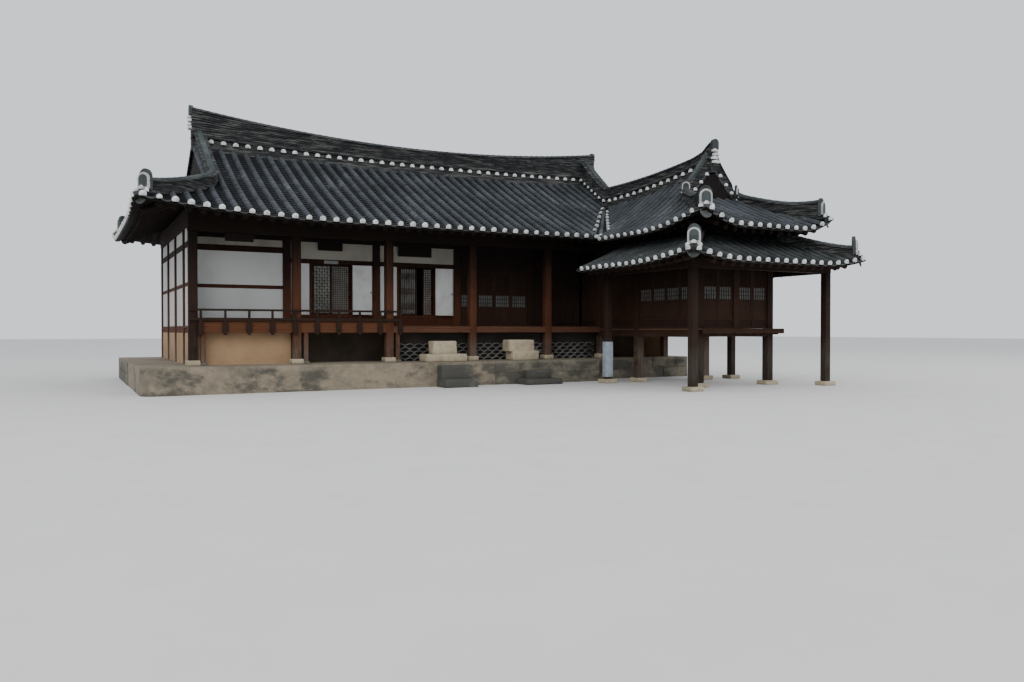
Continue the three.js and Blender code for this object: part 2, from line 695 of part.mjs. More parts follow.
const mainBlock = blockUnder(mainXs, mainYs, mainTop);
const upperBlock = blockUnder(upperXs, upperYs, upperTop);
const upperInside = sheet(upperXs, upperYs, upperUnder, () => 0);
const roofAbove = sheet(mainXs, mainYs, mainTop, (x, y) => mainUnder(x, y) - SEAT);
const upperAbove = sheet(upperXs, upperYs, upperTop, (x, y) => upperUnder(x, y) - SEAT);
const leftPostStone = block(
  around(0, POST_STONE + 2 * SEAT), around(FRONT_Y, POST_STONE + 2 * SEAT), [0, POST_FOOT_Z + SEAT],
);

addPiece("platform", platform(), STONE);
addPiece("front_steps_left", steppedStones(FRONT_STEPS.left, PLATFORM_FRONT_Y - SEAT, 0), STONE);
addPiece("front_steps_right", steppedStones(FRONT_STEPS.right, PLATFORM_FRONT_Y - SEAT, 0), STONE);
addPiece("stepping_stones_left", steppedStones(STEPPING_STONES.left, STEPPING_REAR_Y, PLATFORM_Z), STONE);
addPiece("stepping_stones_right", steppedStones(STEPPING_STONES.right, STEPPING_REAR_Y, PLATFORM_Z), STONE);
addPiece("raised_floor", block(
  [REAR_POST / 2 + SEAT, BODY_RIGHT_X - REAR_POST / 2 - SEAT],
  [INNER_Y - PLASTER / 2, REAR_Y - REAR_POST / 2 - SEAT], [PLATFORM_Z, FLOOR_Z]), CLAY);
addPiece("underfloor_wall", block(
  [REAR_POST / 2 + SEAT, BAY - POST / 2], UNDERFLOOR, [PLATFORM_Z, FLOOR_UNDER_Z]), CLAY);
addPiece("tile_screen", block(
  [2 * BAY + 260, BODY_LEFT_X - POST / 2 - SEAT], UNDERFLOOR, [PLATFORM_Z, FLOOR_UNDER_Z]), TILE);
addPiece("verandah_floor", verandahFloor(), TIMBER);
addPiece("verandah_railing", verandahRailing(), TIMBER);
POSTS_X.forEach((x, i) => addPiece(`front_post_${i + 1}`, standingPost(
  x, FRONT_Y, POST, POST_STONE, [PLATFORM_Z + SEAT, POST_FOOT_Z, LINTEL_Z]), TIMBER));
addPiece("front_beam", frontBeam(), TIMBER);
addPiece("inner_wall_left", innerWall(
  REAR_POST / 2 + SEAT, DOORWAYS[0].left, [BAY], hingePins(DOORWAYS[0], true)), WHITE);
addPiece("inner_wall_middle", innerMiddle(), WHITE);
addPiece("inner_wall_right", innerWall(
  DOORWAYS[1].right, 3 * BAY + POST / 2, [3 * BAY], hingePins(DOORWAYS[1], false)), WHITE);
addPiece("inner_wall_head", innerHead(), WHITE);
addPiece("bay_4_doors", block(
  [3 * BAY + POST / 2 + SEAT, HALL_X - POST / 2 - SEAT], around(INNER_Y, PLASTER),
  [FLOOR_Z, DOOR_HEAD_Z]), PAPER);
addPiece("bay_5_doors", innerWall(HALL_X - POST / 2, BODY_LEFT_X - POST / 2 - SEAT, [HALL_X]), TIMBER);
DOORWAYS.forEach((doorway) => {
  addPiece(`${doorway.name}_door_left`, doorLeaf(doorway, true, 0), PAPER);
  addPiece(`${doorway.name}_door_right`, doorLeaf(doorway, false, OPEN_ANGLE), PAPER);
});
const leftEnd = postedWall(
  false, [EDGE + SEAT, REAR_Y], 0, LEFT_PLATE_Z, [INNER_Y, ...END_POSTS_Y, REAR_Y],
);
const rear = postedWall(
  true, [EDGE + SEAT, BODY_RIGHT_X - EDGE - SEAT], REAR_Y, REAR_PLATE_Z, REAR_POSTS_X,
);
const rightEnd = postedWall(
  false, [FRONT_Y, REAR_Y], BODY_RIGHT_X, RIGHT_PLATE_Z, [FRONT_Y, INNER_Y, ...END_POSTS_Y, REAR_Y],
);
addPiece("left_end_wall", cut(leftEnd, [leftPostStone, roofAbove]), WHITE);
addPiece("rear_wall", cut(rear, [roofAbove]), WHITE);
addPiece("right_end_wall", cut(rightEnd, [roofAbove]), WHITE);
addPiece("main_roof", cut(sheet(mainXs, mainYs, mainTop, mainUnder), [upperInside]), TILE);
addPiece("main_ridge", mainRidge(), TILE);
addPiece("left_front_ridge", cornerRidge(MAIN.left + MAIN.gable, false), TILE);
addPiece("left_rear_ridge", cornerRidge(MAIN.left + MAIN.gable, true), TILE);
addPiece("right_rear_ridge", cornerRidge(MAIN.right - MAIN.gable, true), TILE);

const bodyPost = (x) => standingPost(
  x, BODY_FRONT_Y, POST, POST + STONE_MARGIN, [0, PAVILION_STONE_Z, PAVILION_PLATE_Z],
);
const outerPost = (x, y) => standingPost(
  x, y, OUTER_POST, OUTER_POST + STONE_MARGIN, [0, PAVILION_STONE_Z, OUTER_POST_TOP_Z],
);
addPiece("pavilion_post_left", bodyPost(BODY_LEFT_X), TIMBER);
addPiece("pavilion_post_right", bodyPost(BODY_RIGHT_X), TIMBER);
[["left", BODY_LEFT_X - OUTER_ROW], ["right", BODY_RIGHT_X + OUTER_ROW]].forEach(([side, x]) => {
  addPiece(`outer_post_front_${side}`, outerPost(x, OUTER_FRONT_Y), TIMBER);
  addPiece(`outer_post_rear_${side}`, outerPost(x, BODY_MIDDLE_Y), TIMBER);
});
addPiece("pavilion_floor", pavilionFloor(), TIMBER);
addPiece("pavilion_front_wall", bodyFrontWall(), TIMBER);
addPiece("pavilion_left_wall", bodySideWall(
  BODY_LEFT_X, INNER_Y - PLASTER / 2 - SEAT, [[BODY_MIDDLE_Y, 0], [FRONT_Y, PLATFORM_Z]]), TIMBER);
addPiece("pavilion_right_wall", bodySideWall(
  BODY_RIGHT_X, FRONT_Y - POST / 2 - SEAT, [[BODY_MIDDLE_Y, 0]]), TIMBER);
addPiece("pavilion_plate", cut(bodyPlate(), [upperAbove]), TIMBER);
addPiece("lower_roof_beams", lowerBeams(), TIMBER);
addPiece("lower_roof", lowerRoof(), TILE);
addPiece("upper_roof", cut(sheet(upperXs, upperYs, upperTop, upperUnder), [mainBlock]), TILE);
addPiece("pavilion_ridge", pavilionRidge([mainBlock, upperBlock]), TILE);
addPiece("upper_left_hip_ridge", upperHip(-1, [upperBlock]), TILE);
addPiece("upper_right_hip_ridge", upperHip(1, [upperBlock]), TILE);
addPiece("lower_left_hip_ridge", lowerHip(-1), TILE);
addPiece("lower_right_hip_ridge", lowerHip(1), TILE);

// The origin lies under the middle of the roofs
house.position.set(-(MAIN.left + BODY_X + LOWER.half) / 2, -(LOWER.front + MAIN.rear) / 2, 0);

export default house;
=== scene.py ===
"""Dresses the hanok house: tiled roofs, stacked ridges, timber frame, plaster, lattice leaves and stone."""
import sys
import json
import logging
import math
from collections.abc import Callable, Iterable, Sequence
from dataclasses import dataclass, field, replace
from enum import Enum
from functools import cache
from typing import ClassVar

import bmesh
import bpy
from mathutils import Matrix, Vector, noise


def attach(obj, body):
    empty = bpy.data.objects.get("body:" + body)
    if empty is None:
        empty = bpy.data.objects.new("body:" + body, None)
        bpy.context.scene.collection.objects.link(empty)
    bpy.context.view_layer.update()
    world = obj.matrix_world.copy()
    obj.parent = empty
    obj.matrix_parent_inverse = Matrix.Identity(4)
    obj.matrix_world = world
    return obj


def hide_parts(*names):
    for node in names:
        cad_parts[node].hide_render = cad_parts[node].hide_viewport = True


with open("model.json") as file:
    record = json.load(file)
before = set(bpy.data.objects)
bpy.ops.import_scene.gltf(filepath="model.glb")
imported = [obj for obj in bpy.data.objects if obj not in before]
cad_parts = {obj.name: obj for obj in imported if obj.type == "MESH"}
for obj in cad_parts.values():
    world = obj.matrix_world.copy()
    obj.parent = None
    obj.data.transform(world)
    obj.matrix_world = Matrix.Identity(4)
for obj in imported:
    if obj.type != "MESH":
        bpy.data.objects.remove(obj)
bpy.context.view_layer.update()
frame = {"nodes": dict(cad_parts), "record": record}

LOG = logging.getLogger("hanok_house")

Colour = tuple[float, float, float]
Point = tuple[float, float, float]
Spot = tuple[float, float]
Span = tuple[float, float]
Height = Callable[[float, float], float]
Shown = Callable[[float, float], bool]

# Plan metres start at the left front post; this carries them into the shared frame
PLAN = Matrix.Translation((-7.13, -0.775, 0.0))

# Sets the noise that wears the stones, which is drawn anew in each run without it
STONE_SEED = 1
UP = Vector((0, 0, 1))

# The long wing: bays along X, the inner wall's line, and the levels of its parts
BAY = 2.4
POST_HALF = 0.10
WALL_LINE = 1.05
WING_REAR = 6.2
PLATFORM_TOP = 0.62
FLOOR_UNDER = 1.38
FLOOR_TOP = 1.55
PLATE_UNDER = 3.74
PLATE_TOP = 4.30
CLAY_RAIL, MIDDLE_RAIL, UPPER_RAIL = (1.38, 1.55), (2.495, 2.585), (3.415, 3.565)
DOORWAYS = ((3.05, 4.11), (5.46, 6.50))
HINGE_Y = 0.964
HINGE_HEIGHTS = (2.10, 2.90)

# The pavilion: its walls, and the outer posts that carry its lower roof
BODY_LEFT, BODY_RIGHT = 11.48, 13.88
BODY_FRONT, BODY_MIDDLE = -4.32, -1.85
WALL_END = 11.38
OUTER_LEFT, OUTER_RIGHT, OUTER_FRONT = 10.43, 14.93, -5.32


def around(middle: float, half: float) -> Span:
    """The span that reaches as far to both sides of its middle."""
    return middle - half, middle + half


def spread(start: float, end: float, count: int) -> list[float]:
    """Evenly spaced numbers from start to end."""
    return [start + (end - start) * k / count for k in range(count + 1)]


def axes_at(point: Vector, way: Vector, left: Vector, up: Vector = UP) -> Matrix:
    """The matrix of axes of their own at a point."""
    return Matrix.Translation(point) @ Matrix((way, left, up)).transposed().to_4x4()


@dataclass
class Signal:
    """What an output socket carries over a surface, with Python's arithmetic."""

    bench: "MaterialBench"
    socket: bpy.types.NodeSocket

    def math(self, operation: str, *values: object) -> "Signal":
        """The result of one Math node."""
        return self.bench.read("ShaderNodeMath", dict(enumerate(values)), operation=operation)

    def __add__(self, other: object) -> "Signal":
        """Adds."""
        return self.math("ADD", self, other)

    def __radd__(self, other: object) -> "Signal":
        """Adds, with the number first."""
        return self.math("ADD", other, self)

    def __sub__(self, other: object) -> "Signal":
        """Subtracts."""
        return self.math("SUBTRACT", self, other)

    def __rsub__(self, other: object) -> "Signal":
        """Subtracts from a number."""
        return self.math("SUBTRACT", other, self)

    def __mul__(self, other: object) -> "Signal":
        """Multiplies."""
        return self.math("MULTIPLY", self, other)

    def __truediv__(self, other: object) -> "Signal":
        """Divides."""
        return self.math("DIVIDE", self, other)

    def floor(self) -> "Signal":
        """Rounds down."""
        return self.math("FLOOR", self)

    def smooth(self, low: float, high: float) -> "Signal":
        """Rises smoothly from 0 at low to 1 at high."""
        inputs = {"Value": self, "From Min": low, "From Max": high}
        return self.bench.read("ShaderNodeMapRange", inputs, interpolation_type="SMOOTHSTEP")


class MaterialBench:
    """One material in the making, with a Principled shader."""

    def __init__(self, name: str) -> None:
        """Starts an empty material."""
        self.material = bpy.data.materials.new(name)
        self.material.use_nodes = True
        self.tree = self.material.node_tree
        self.tree.nodes.clear()
        self.shader = self.node("ShaderNodeBsdfPrincipled", {})
        output = self.node("ShaderNodeOutputMaterial", {})
        self.tree.links.new(self.shader.outputs[0], output.inputs[0])

    def node(self, kind: str, inputs: dict[object, object], **settings: object) -> bpy.types.Node:
        """Adds any node.

        Args:
            kind: The node's type.
            inputs: What its sockets are fed, by name or number.
            settings: Its own settings, which are set first.

        Returns:
            The new node.
        """
        made = self.tree.nodes.new(kind)
        for key, value in settings.items():
            setattr(made, key, value)
        for key, value in inputs.items():
            self.feed(made.inputs[key], value)
        return made

    def read(self, kind: str, inputs: dict[object, object], output: object = 0, **settings: object) -> Signal:
        """Adds any node and gives one of its outputs.

        Args:
            kind: The node's type.
            inputs: What its sockets are fed, by name or number.
            output: The output's name or number.
            settings: The node's own settings.

        Returns:
            What the output carries.
        """
        return Signal(self, self.node(kind, inputs, **settings).outputs[output])

    def feed(self, socket: bpy.types.NodeSocket, value: object) -> None:
        """Links a signal to an input, or sets a colour or a number there."""
        if isinstance(value, Signal):
            self.tree.links.new(value.socket, socket)
        elif isinstance(value, tuple) and socket.type == "RGBA":
            socket.default_value = (*value, 1)
        else:
            socket.default_value = value

    def place(self, scale: Point = (1, 1, 1), offset: Point = (0, 0, 0)) -> Signal:
        """Object coordinates in metres, stretched by a factor on each axis and moved."""
        source = self.read("ShaderNodeTexCoord", {}, "Object")
        return self.read("ShaderNodeMapping", {"Vector": source, "Scale": scale, "Location": offset})

    def axes(self) -> tuple[Signal, ...]:
        """The object's x, y and z."""
        made = self.node("ShaderNodeSeparateXYZ", {0: self.place()})
        return tuple(Signal(self, made.outputs[i]) for i in range(3))

    def noise(self, vector: Signal, scale: float, detail: float = 3, rough: float = 0.5) -> Signal:
        """Fractal noise around 0.5.

        Args:
            vector: Where it is read.
            scale: Its frequency for each metre.
            detail: How many octaves.
            rough: How strong the fine octaves are.

        Returns:
            The noise.
        """
        inputs = {"Vector": vector, "Scale": scale, "Detail": detail, "Roughness": rough}
        return self.read("ShaderNodeTexNoise", inputs)

    def seams(self, vector: Signal, scale: float) -> Signal:
        """How far the nearest seam between scattered cells is."""
        inputs = {"Vector": vector, "Scale": scale}
        return self.read("ShaderNodeTexVoronoi", inputs, "Distance", feature="DISTANCE_TO_EDGE")

    def chance(self, x: Signal, y: Signal, z: Signal) -> Signal:
        """A random tone from 0 to 1 that is the same all over one cell, by its numbers along the axes."""
        cell = self.read("ShaderNodeCombineXYZ", {0: x, 1: y, 2: z})
        return self.read("ShaderNodeTexWhiteNoise", {"Vector": cell}, "Value", noise_dimensions="3D")

    def mix(self, share: object, first: object, second: object) -> Signal:
        """Mixes two colours by the share of the second one."""
        return self.read("ShaderNodeMix", {0: share, 6: first, 7: second}, 2, data_type="RGBA")

    def finish(
        self, colour: Signal, roughness: object, relief: Signal, depth: float, **constants: float,
    ) -> None:
        """Feeds the shader.

        Args:
            colour: Its base colour.
            roughness: Its roughness.
            relief: The height of its bump.
            depth: How deep the bump is, in metres.
            constants: Values of its other sockets, with _ for a space.
        """
        self.feed(self.shader.inputs["Base Color"], colour)
        self.feed(self.shader.inputs["Roughness"], roughness)
        bump = self.read("ShaderNodeBump", {"Distance": depth, "Height": relief})
        self.feed(self.shader.inputs["Normal"], bump)
        for key, value in constants.items():
            self.feed(self.shader.inputs[key.replace("_", " ")], value)


class Along(Enum):
    """The way a timber's grain runs, as the stretch of its pattern."""

    X = (0.05, 1.0, 1.0)
    Y = (1.0, 0.05, 1.0)
    Z = (1.0, 1.0, 0.05)


@dataclass(frozen=True)
class Finish:
    """A finish that can dress a piece, with the record's material slot that it stands in."""

    slot: ClassVar[str]
    name: str

    def lay(self, bench: MaterialBench) -> None:
        """Builds the finish's nodes."""
        raise NotImplementedError(self.name)


@cache
def dressed(finish: Finish) -> bpy.types.Material:
    """The material of a finish, made once."""
    bench = MaterialBench(finish.name)
    finish.lay(bench)
    return bench.material


@dataclass(frozen=True)
class TileFinish(Finish):
    """Smoke-grey fired clay, each tile of its own tone, paler where it has weathered."""

    slot = "roof_tile"
    dark: Colour = (0.024, 0.028, 0.031)
    worn: Colour = (0.080, 0.088, 0.098)
    cell: float = 0.30

    def lay(self, bench: MaterialBench) -> None:
        """Builds the finish's nodes."""
        at = bench.place()
        x, y, z = bench.axes()
        tone = bench.chance((x / self.cell).floor(), (y / self.cell).floor(), (z / self.cell).floor())
        broad = bench.noise(at, 0.9, 4)
        fine = bench.noise(at, 38, 5, 0.6)
        share = (broad * 0.6 + tone * 0.14 + fine * 0.35).smooth(0.35, 0.85)
        colour = bench.mix(share, self.dark, self.worn)
        lichen = (bench.noise(at, 9, 5, 0.7) * broad).smooth(0.33, 0.42) * 0.4
        colour = bench.mix(lichen, colour, (0.17, 0.18, 0.165))
        bench.finish(colour, 0.62 + fine * 0.3, fine + broad * 0.3, 0.004, Specular_IOR_Level=0.3)


@dataclass(frozen=True)
class StackFinish(Finish):
    """Thin tiles stacked in a ridge, streaked with pale mortar and brown growth."""

    slot = "roof_tile"
    dark: Colour = (0.018, 0.020, 0.022)
    pale: Colour = (0.125, 0.120, 0.108)

    def lay(self, bench: MaterialBench) -> None:
        """Builds the finish's nodes."""
        streak = bench.noise(bench.place((1.6, 1.6, 17)), 1.5, 4, 0.6)
        fine = bench.noise(bench.place(), 55, 4, 0.6)
        patch = bench.noise(bench.place((1, 1, 3)), 2.3, 3)
        colour = bench.mix((streak + fine * 0.25).smooth(0.55, 0.85), self.dark, self.pale)
        colour = bench.mix(patch.smooth(0.55, 0.75) * 0.35, colour, (0.050, 0.040, 0.030))
        bench.finish(colour, 0.75 + fine * 0.2, streak * 0.6 + fine, 0.006, Specular_IOR_Level=0.2)


@dataclass(frozen=True)
class TimberFinish(Finish):
    """Old timber: darker above, from soot and from painted shade under the eaves, warmer and paler below,
    with fine checks along its grain.
    """

    slot = "timber"
    along: Along = Along.Z
    dark: Colour = (0.012, 0.006, 0.004)
    warm: Colour = (0.085, 0.030, 0.014)
    grey: Colour = (0.17, 0.14, 0.11)
    # The heights over which the timber darkens upwards: soot together with painted shade under the eaves
    warm_from: float = 3.9
    warm_to: float = 1.6

    def lay(self, bench: MaterialBench) -> None:
        """Builds the finish's nodes."""
        grain_at = bench.place(self.along.value)
        z = bench.axes()[2]
        grain = bench.noise(grain_at, 26, 6, 0.6)
        fibre = bench.noise(grain_at, 140, 3, 0.6)
        blotch = bench.noise(bench.place(), 1.7, 4, 0.55)
        split = 1 - bench.seams(grain_at, 17).smooth(0.0, 0.05)
        # Lighter low down and darker high up: soot and painted shade under the eaves
        low = 1 - z.smooth(self.warm_to, self.warm_from)
        share = (grain * 0.5 + blotch * 0.45 + low * 0.5 - 0.25).smooth(0.15, 0.85)
        colour = bench.mix(share, self.dark, self.warm)
        foot = (1 - z.smooth(0.6, 1.5)) * (blotch + grain * 0.5).smooth(0.45, 0.9)
        colour = bench.mix(foot * 0.8, colour, self.grey)
        colour = bench.mix(split * grain.smooth(0.45, 0.7), colour, (0.010, 0.006, 0.004))
        relief = grain * 0.5 + fibre * 0.3 - split
        bench.finish(colour, 0.66 + fibre * 0.3, relief, 0.004, Specular_IOR_Level=0.15)


@dataclass(frozen=True)
class PlasterFinish(Finish):
    """Trowelled lime plaster with faint stains."""

    slot = "plaster"
    pale: Colour = (0.50, 0.50, 0.487)
    stain: Colour = (0.35, 0.338, 0.31)
    strength: float = 0.40

    def lay(self, bench: MaterialBench) -> None:
        """Builds the finish's nodes."""
        at = bench.place()
        broad = bench.noise(bench.place((1, 1, 0.5)), 1.9, 5, 0.55)
        fine = bench.noise(at, 60, 4, 0.6)
        trowel = bench.noise(at, 9, 2)
        colour = bench.mix((broad + fine * 0.2).smooth(0.55, 0.85) * self.strength, self.pale, self.stain)
        bench.finish(colour, 0.85, trowel * 0.6 + fine * 0.25, 0.004)


@dataclass(frozen=True)
class LimeFinish(Finish):
    """White lime knobs and end pieces, grimy in their hollows."""

    slot = "plaster"

    def lay(self, bench: MaterialBench) -> None:
        """Builds the finish's nodes."""
        at = bench.place()
        broad = bench.noise(at, 11, 5, 0.6)
        fine = bench.noise(at, 90, 3, 0.6)
        share = (broad + fine * 0.3).smooth(0.48, 0.90) * 0.8
        colour = bench.mix(share, (0.70, 0.70, 0.68), (0.20, 0.195, 0.18))
        bench.finish(colour, 0.8, broad + fine * 0.3, 0.008)


@dataclass(frozen=True)
class ClayFinish(Finish):
    """Tan clay plaster with its grit."""

    slot = "clay"
    pale: Colour = (0.38, 0.245, 0.135)
    deep: Colour = (0.27, 0.165, 0.088)

    def lay(self, bench: MaterialBench) -> None:
        """Builds the finish's nodes."""
        at = bench.place()
        broad = bench.noise(at, 1.6, 4, 0.55)
        grit = bench.noise(at, 85, 4, 0.65)
        colour = bench.mix((broad * 0.8 + grit * 0.3).smooth(0.4, 0.8), self.pale, self.deep)
        bench.finish(colour, 0.92, broad * 0.5 + grit * 0.4, 0.005)


@dataclass(frozen=True)
class StoneFinish(Finish):
    """Dressed or mortared stone with dark damp stains below its upper edge."""

    slot = "stone"
    pale: Colour = (0.26, 0.212, 0.145)
    deep: Colour = (0.125, 0.107, 0.076)
    stain: Colour = (0.050, 0.048, 0.040)
    stains: float = 0.8
    stains_from: float = 0.48

    def lay(self, bench: MaterialBench) -> None:
        """Builds the finish's nodes."""
        at = bench.place()
        z = bench.axes()[2]
        broad = bench.noise(bench.place((0.7, 0.7, 1.4)), 1.5, 5, 0.6)
        mid = bench.noise(at, 7, 5, 0.6)
        grit = bench.noise(at, 130, 3, 0.6)
        colour = bench.mix((broad * 0.6 + mid * 0.5).smooth(0.4, 0.75), self.pale, self.deep)
        colour = bench.mix(grit.smooth(0.55, 0.7) * 0.35, colour, (0.55, 0.52, 0.47))
        damp = bench.noise(bench.place((0.6, 0.6, 1.0), (3.1, 1.7, 0.4)), 2.1, 6, 0.65)
        share = damp.smooth(self.stains_from, self.stains_from + 0.14) * self.stains
        colour = bench.mix(share * (1 - z.smooth(0.52, 0.61) * 0.8), colour, self.stain)
        bench.finish(colour, 0.88, broad * 0.8 + mid * 0.5 + grit * 0.12, 0.016)


@dataclass(frozen=True)
class PaperFinish(Finish):
    """Mulberry paper with its long fibres."""

    slot = "paper"
    pale: Colour = (0.58, 0.58, 0.565)
    shade: Colour = (0.43, 0.42, 0.395)

    def lay(self, bench: MaterialBench) -> None:
        """Builds the finish's nodes."""
        fibre = bench.noise(bench.place((1, 1, 0.2)), 70, 4, 0.6)
        broad = bench.noise(bench.place(), 3.1, 3)
        colour = bench.mix((broad * 0.7 + fibre * 0.4).smooth(0.4, 0.8), self.pale, self.shade)
        bench.finish(colour, 0.9, fibre, 0.0008)


@dataclass(frozen=True)
class PlainFinish(Finish):
    """One tone with fine grain, for a pale sheath and the floor."""

    slot = "plaster"
    tone: Colour
    second: Colour
    rough: float
    grain: float
    metal: float = 0.0

    def lay(self, bench: MaterialBench) -> None:
        """Builds the finish's nodes."""
        fine = bench.noise(bench.place(), self.grain, 4, 0.6)
        colour = bench.mix(fine.smooth(0.4, 0.7), self.tone, self.second)
        bench.finish(colour, self.rough + fine * 0.15, fine, 0.001, Metallic=self.metal)


class IronFinish(PlainFinish):
    """The same for iron, which belongs to the timber that it is nailed to."""

    slot = "timber"


COVER_TILE = TileFinish("cover_tile")
# The pans are a much darker copy of the tile: painted shade between the covers
SHADED_PAN_TILE = TileFinish("shaded_pan_tile", (0.006, 0.007, 0.008), (0.024, 0.027, 0.031), 0.16)
CAP_TILE = TileFinish("cap_tile", (0.022, 0.027, 0.027), (0.078, 0.092, 0.090))
END_TILE = TileFinish("end_tile", (0.045, 0.048, 0.047), (0.120, 0.126, 0.122))
# Darker, slightly greener copy of the cover tile for the lower roof: painted shade from the upper roof over
# it
SHADED_LOWER_TILE = TileFinish("shaded_lower_tile", (0.016, 0.019, 0.019), (0.066, 0.072, 0.072))
SCREEN_TILE = TileFinish("screen_tile", (0.11, 0.11, 0.10), (0.27, 0.27, 0.25), 0.26)
STACKED = StackFinish("stacked_tile")
LIME = LimeFinish("lime")
PLASTER = PlasterFinish("white_plaster")
# Darker copy of the white plaster for the panels under the eaves: painted shade
SHADED_PLASTER = PlasterFinish("aged_plaster", (0.26, 0.245, 0.205), (0.15, 0.138, 0.112), 0.6)
GREY_LIME = PlasterFinish("grey_lime", (0.20, 0.205, 0.20), (0.08, 0.08, 0.075), 0.8)
OLD_LIME = PlasterFinish("old_lime", (0.46, 0.46, 0.43), (0.17, 0.17, 0.155), 0.9)
CLAY = ClayFinish("tan_clay")
SHADOW_CLAY = ClayFinish("shaded_clay", (0.030, 0.023, 0.017), (0.012, 0.010, 0.008))
# Dark copy of the clay for the store under the raised floor: painted shade
SHADED_STORE_CLAY = ClayFinish("shaded_store_clay", (0.075, 0.052, 0.034), (0.030, 0.022, 0.015))
STONE = StoneFinish("mortared_stone")
CUT_STONE = StoneFinish("cut_stone", (0.205, 0.178, 0.125), (0.105, 0.094, 0.070), stains_from=0.43)
DARK_STONE = StoneFinish("dark_stone", (0.115, 0.108, 0.088), (0.055, 0.052, 0.044), stains_from=0.36)
PALE_STONE = StoneFinish("pale_stone", (0.46, 0.385, 0.26), (0.29, 0.24, 0.16), stains=0.25)
PAPER = PaperFinish("white_paper")
# Darker copy of the paper for closed leaves and fixed screens: painted shade on their outer faces
SHADOWED_PAPER = PaperFinish("aged_paper", (0.24, 0.245, 0.22), (0.13, 0.13, 0.115))
SHADE_PAPER = PaperFinish("shaded_paper", (0.115, 0.118, 0.112), (0.060, 0.061, 0.056))
POSTS = TimberFinish("post_timber")
SHADE_POSTS = TimberFinish(
    "shaded_post_timber", Along.Z, (0.007, 0.004, 0.003), (0.028, 0.014, 0.009), (0.056, 0.048, 0.038),
)
DARK_POSTS = TimberFinish("dark_post_timber", Along.Z, (0.010, 0.006, 0.005), (0.036, 0.018, 0.011))
BEAMS = TimberFinish("beam_timber", Along.X, (0.008, 0.005, 0.003), (0.035, 0.015, 0.009))
CROSS_BEAMS = TimberFinish("cross_beam_timber", Along.Y, (0.008, 0.005, 0.003), (0.038, 0.016, 0.009))
RAILING = TimberFinish("railing_timber", Along.X, (0.007, 0.005, 0.004), (0.028, 0.015, 0.010))
EDGE_BOARDS = TimberFinish(
    "edge_board_timber", Along.X, (0.028, 0.010, 0.005), (0.105, 0.040, 0.018), warm_from=2.6,
)
DULL_EDGE = TimberFinish("dull_edge_timber", Along.X, (0.020, 0.009, 0.006), (0.105, 0.045, 0.026))
LEAF_TIMBER = TimberFinish("leaf_timber", Along.Z, (0.010, 0.007, 0.005), (0.042, 0.020, 0.012))
DARK_BOARDS = TimberFinish("board_timber", Along.Z, (0.008, 0.005, 0.004), (0.028, 0.015, 0.010))
RED_BOARDS = TimberFinish("red_board_timber", Along.Z, (0.016, 0.006, 0.004), (0.072, 0.022, 0.012))
FLOOR_BOARDS = TimberFinish("floor_board_timber", Along.Y, (0.030, 0.017, 0.011), (0.110, 0.060, 0.035))
SOFFIT = TimberFinish("soffit_timber", Along.Y, (0.007, 0.005, 0.004), (0.026, 0.015, 0.010))
RAFTERS = TimberFinish("rafter_timber", Along.Y, (0.010, 0.006, 0.005), (0.048, 0.024, 0.014))
IRON = IronFinish("iron", (0.035, 0.032, 0.030), (0.07, 0.05, 0.04), 0.55, 60.0, 0.8)
SHEATH = PlainFinish("pale_sheath", (0.33, 0.38, 0.42), (0.24, 0.28, 0.31), 0.5, 9.0)
FLOOR = PlainFinish("pale_floor", (0.66, 0.64, 0.61), (0.63, 0.61, 0.58), 0.9, 1.3)


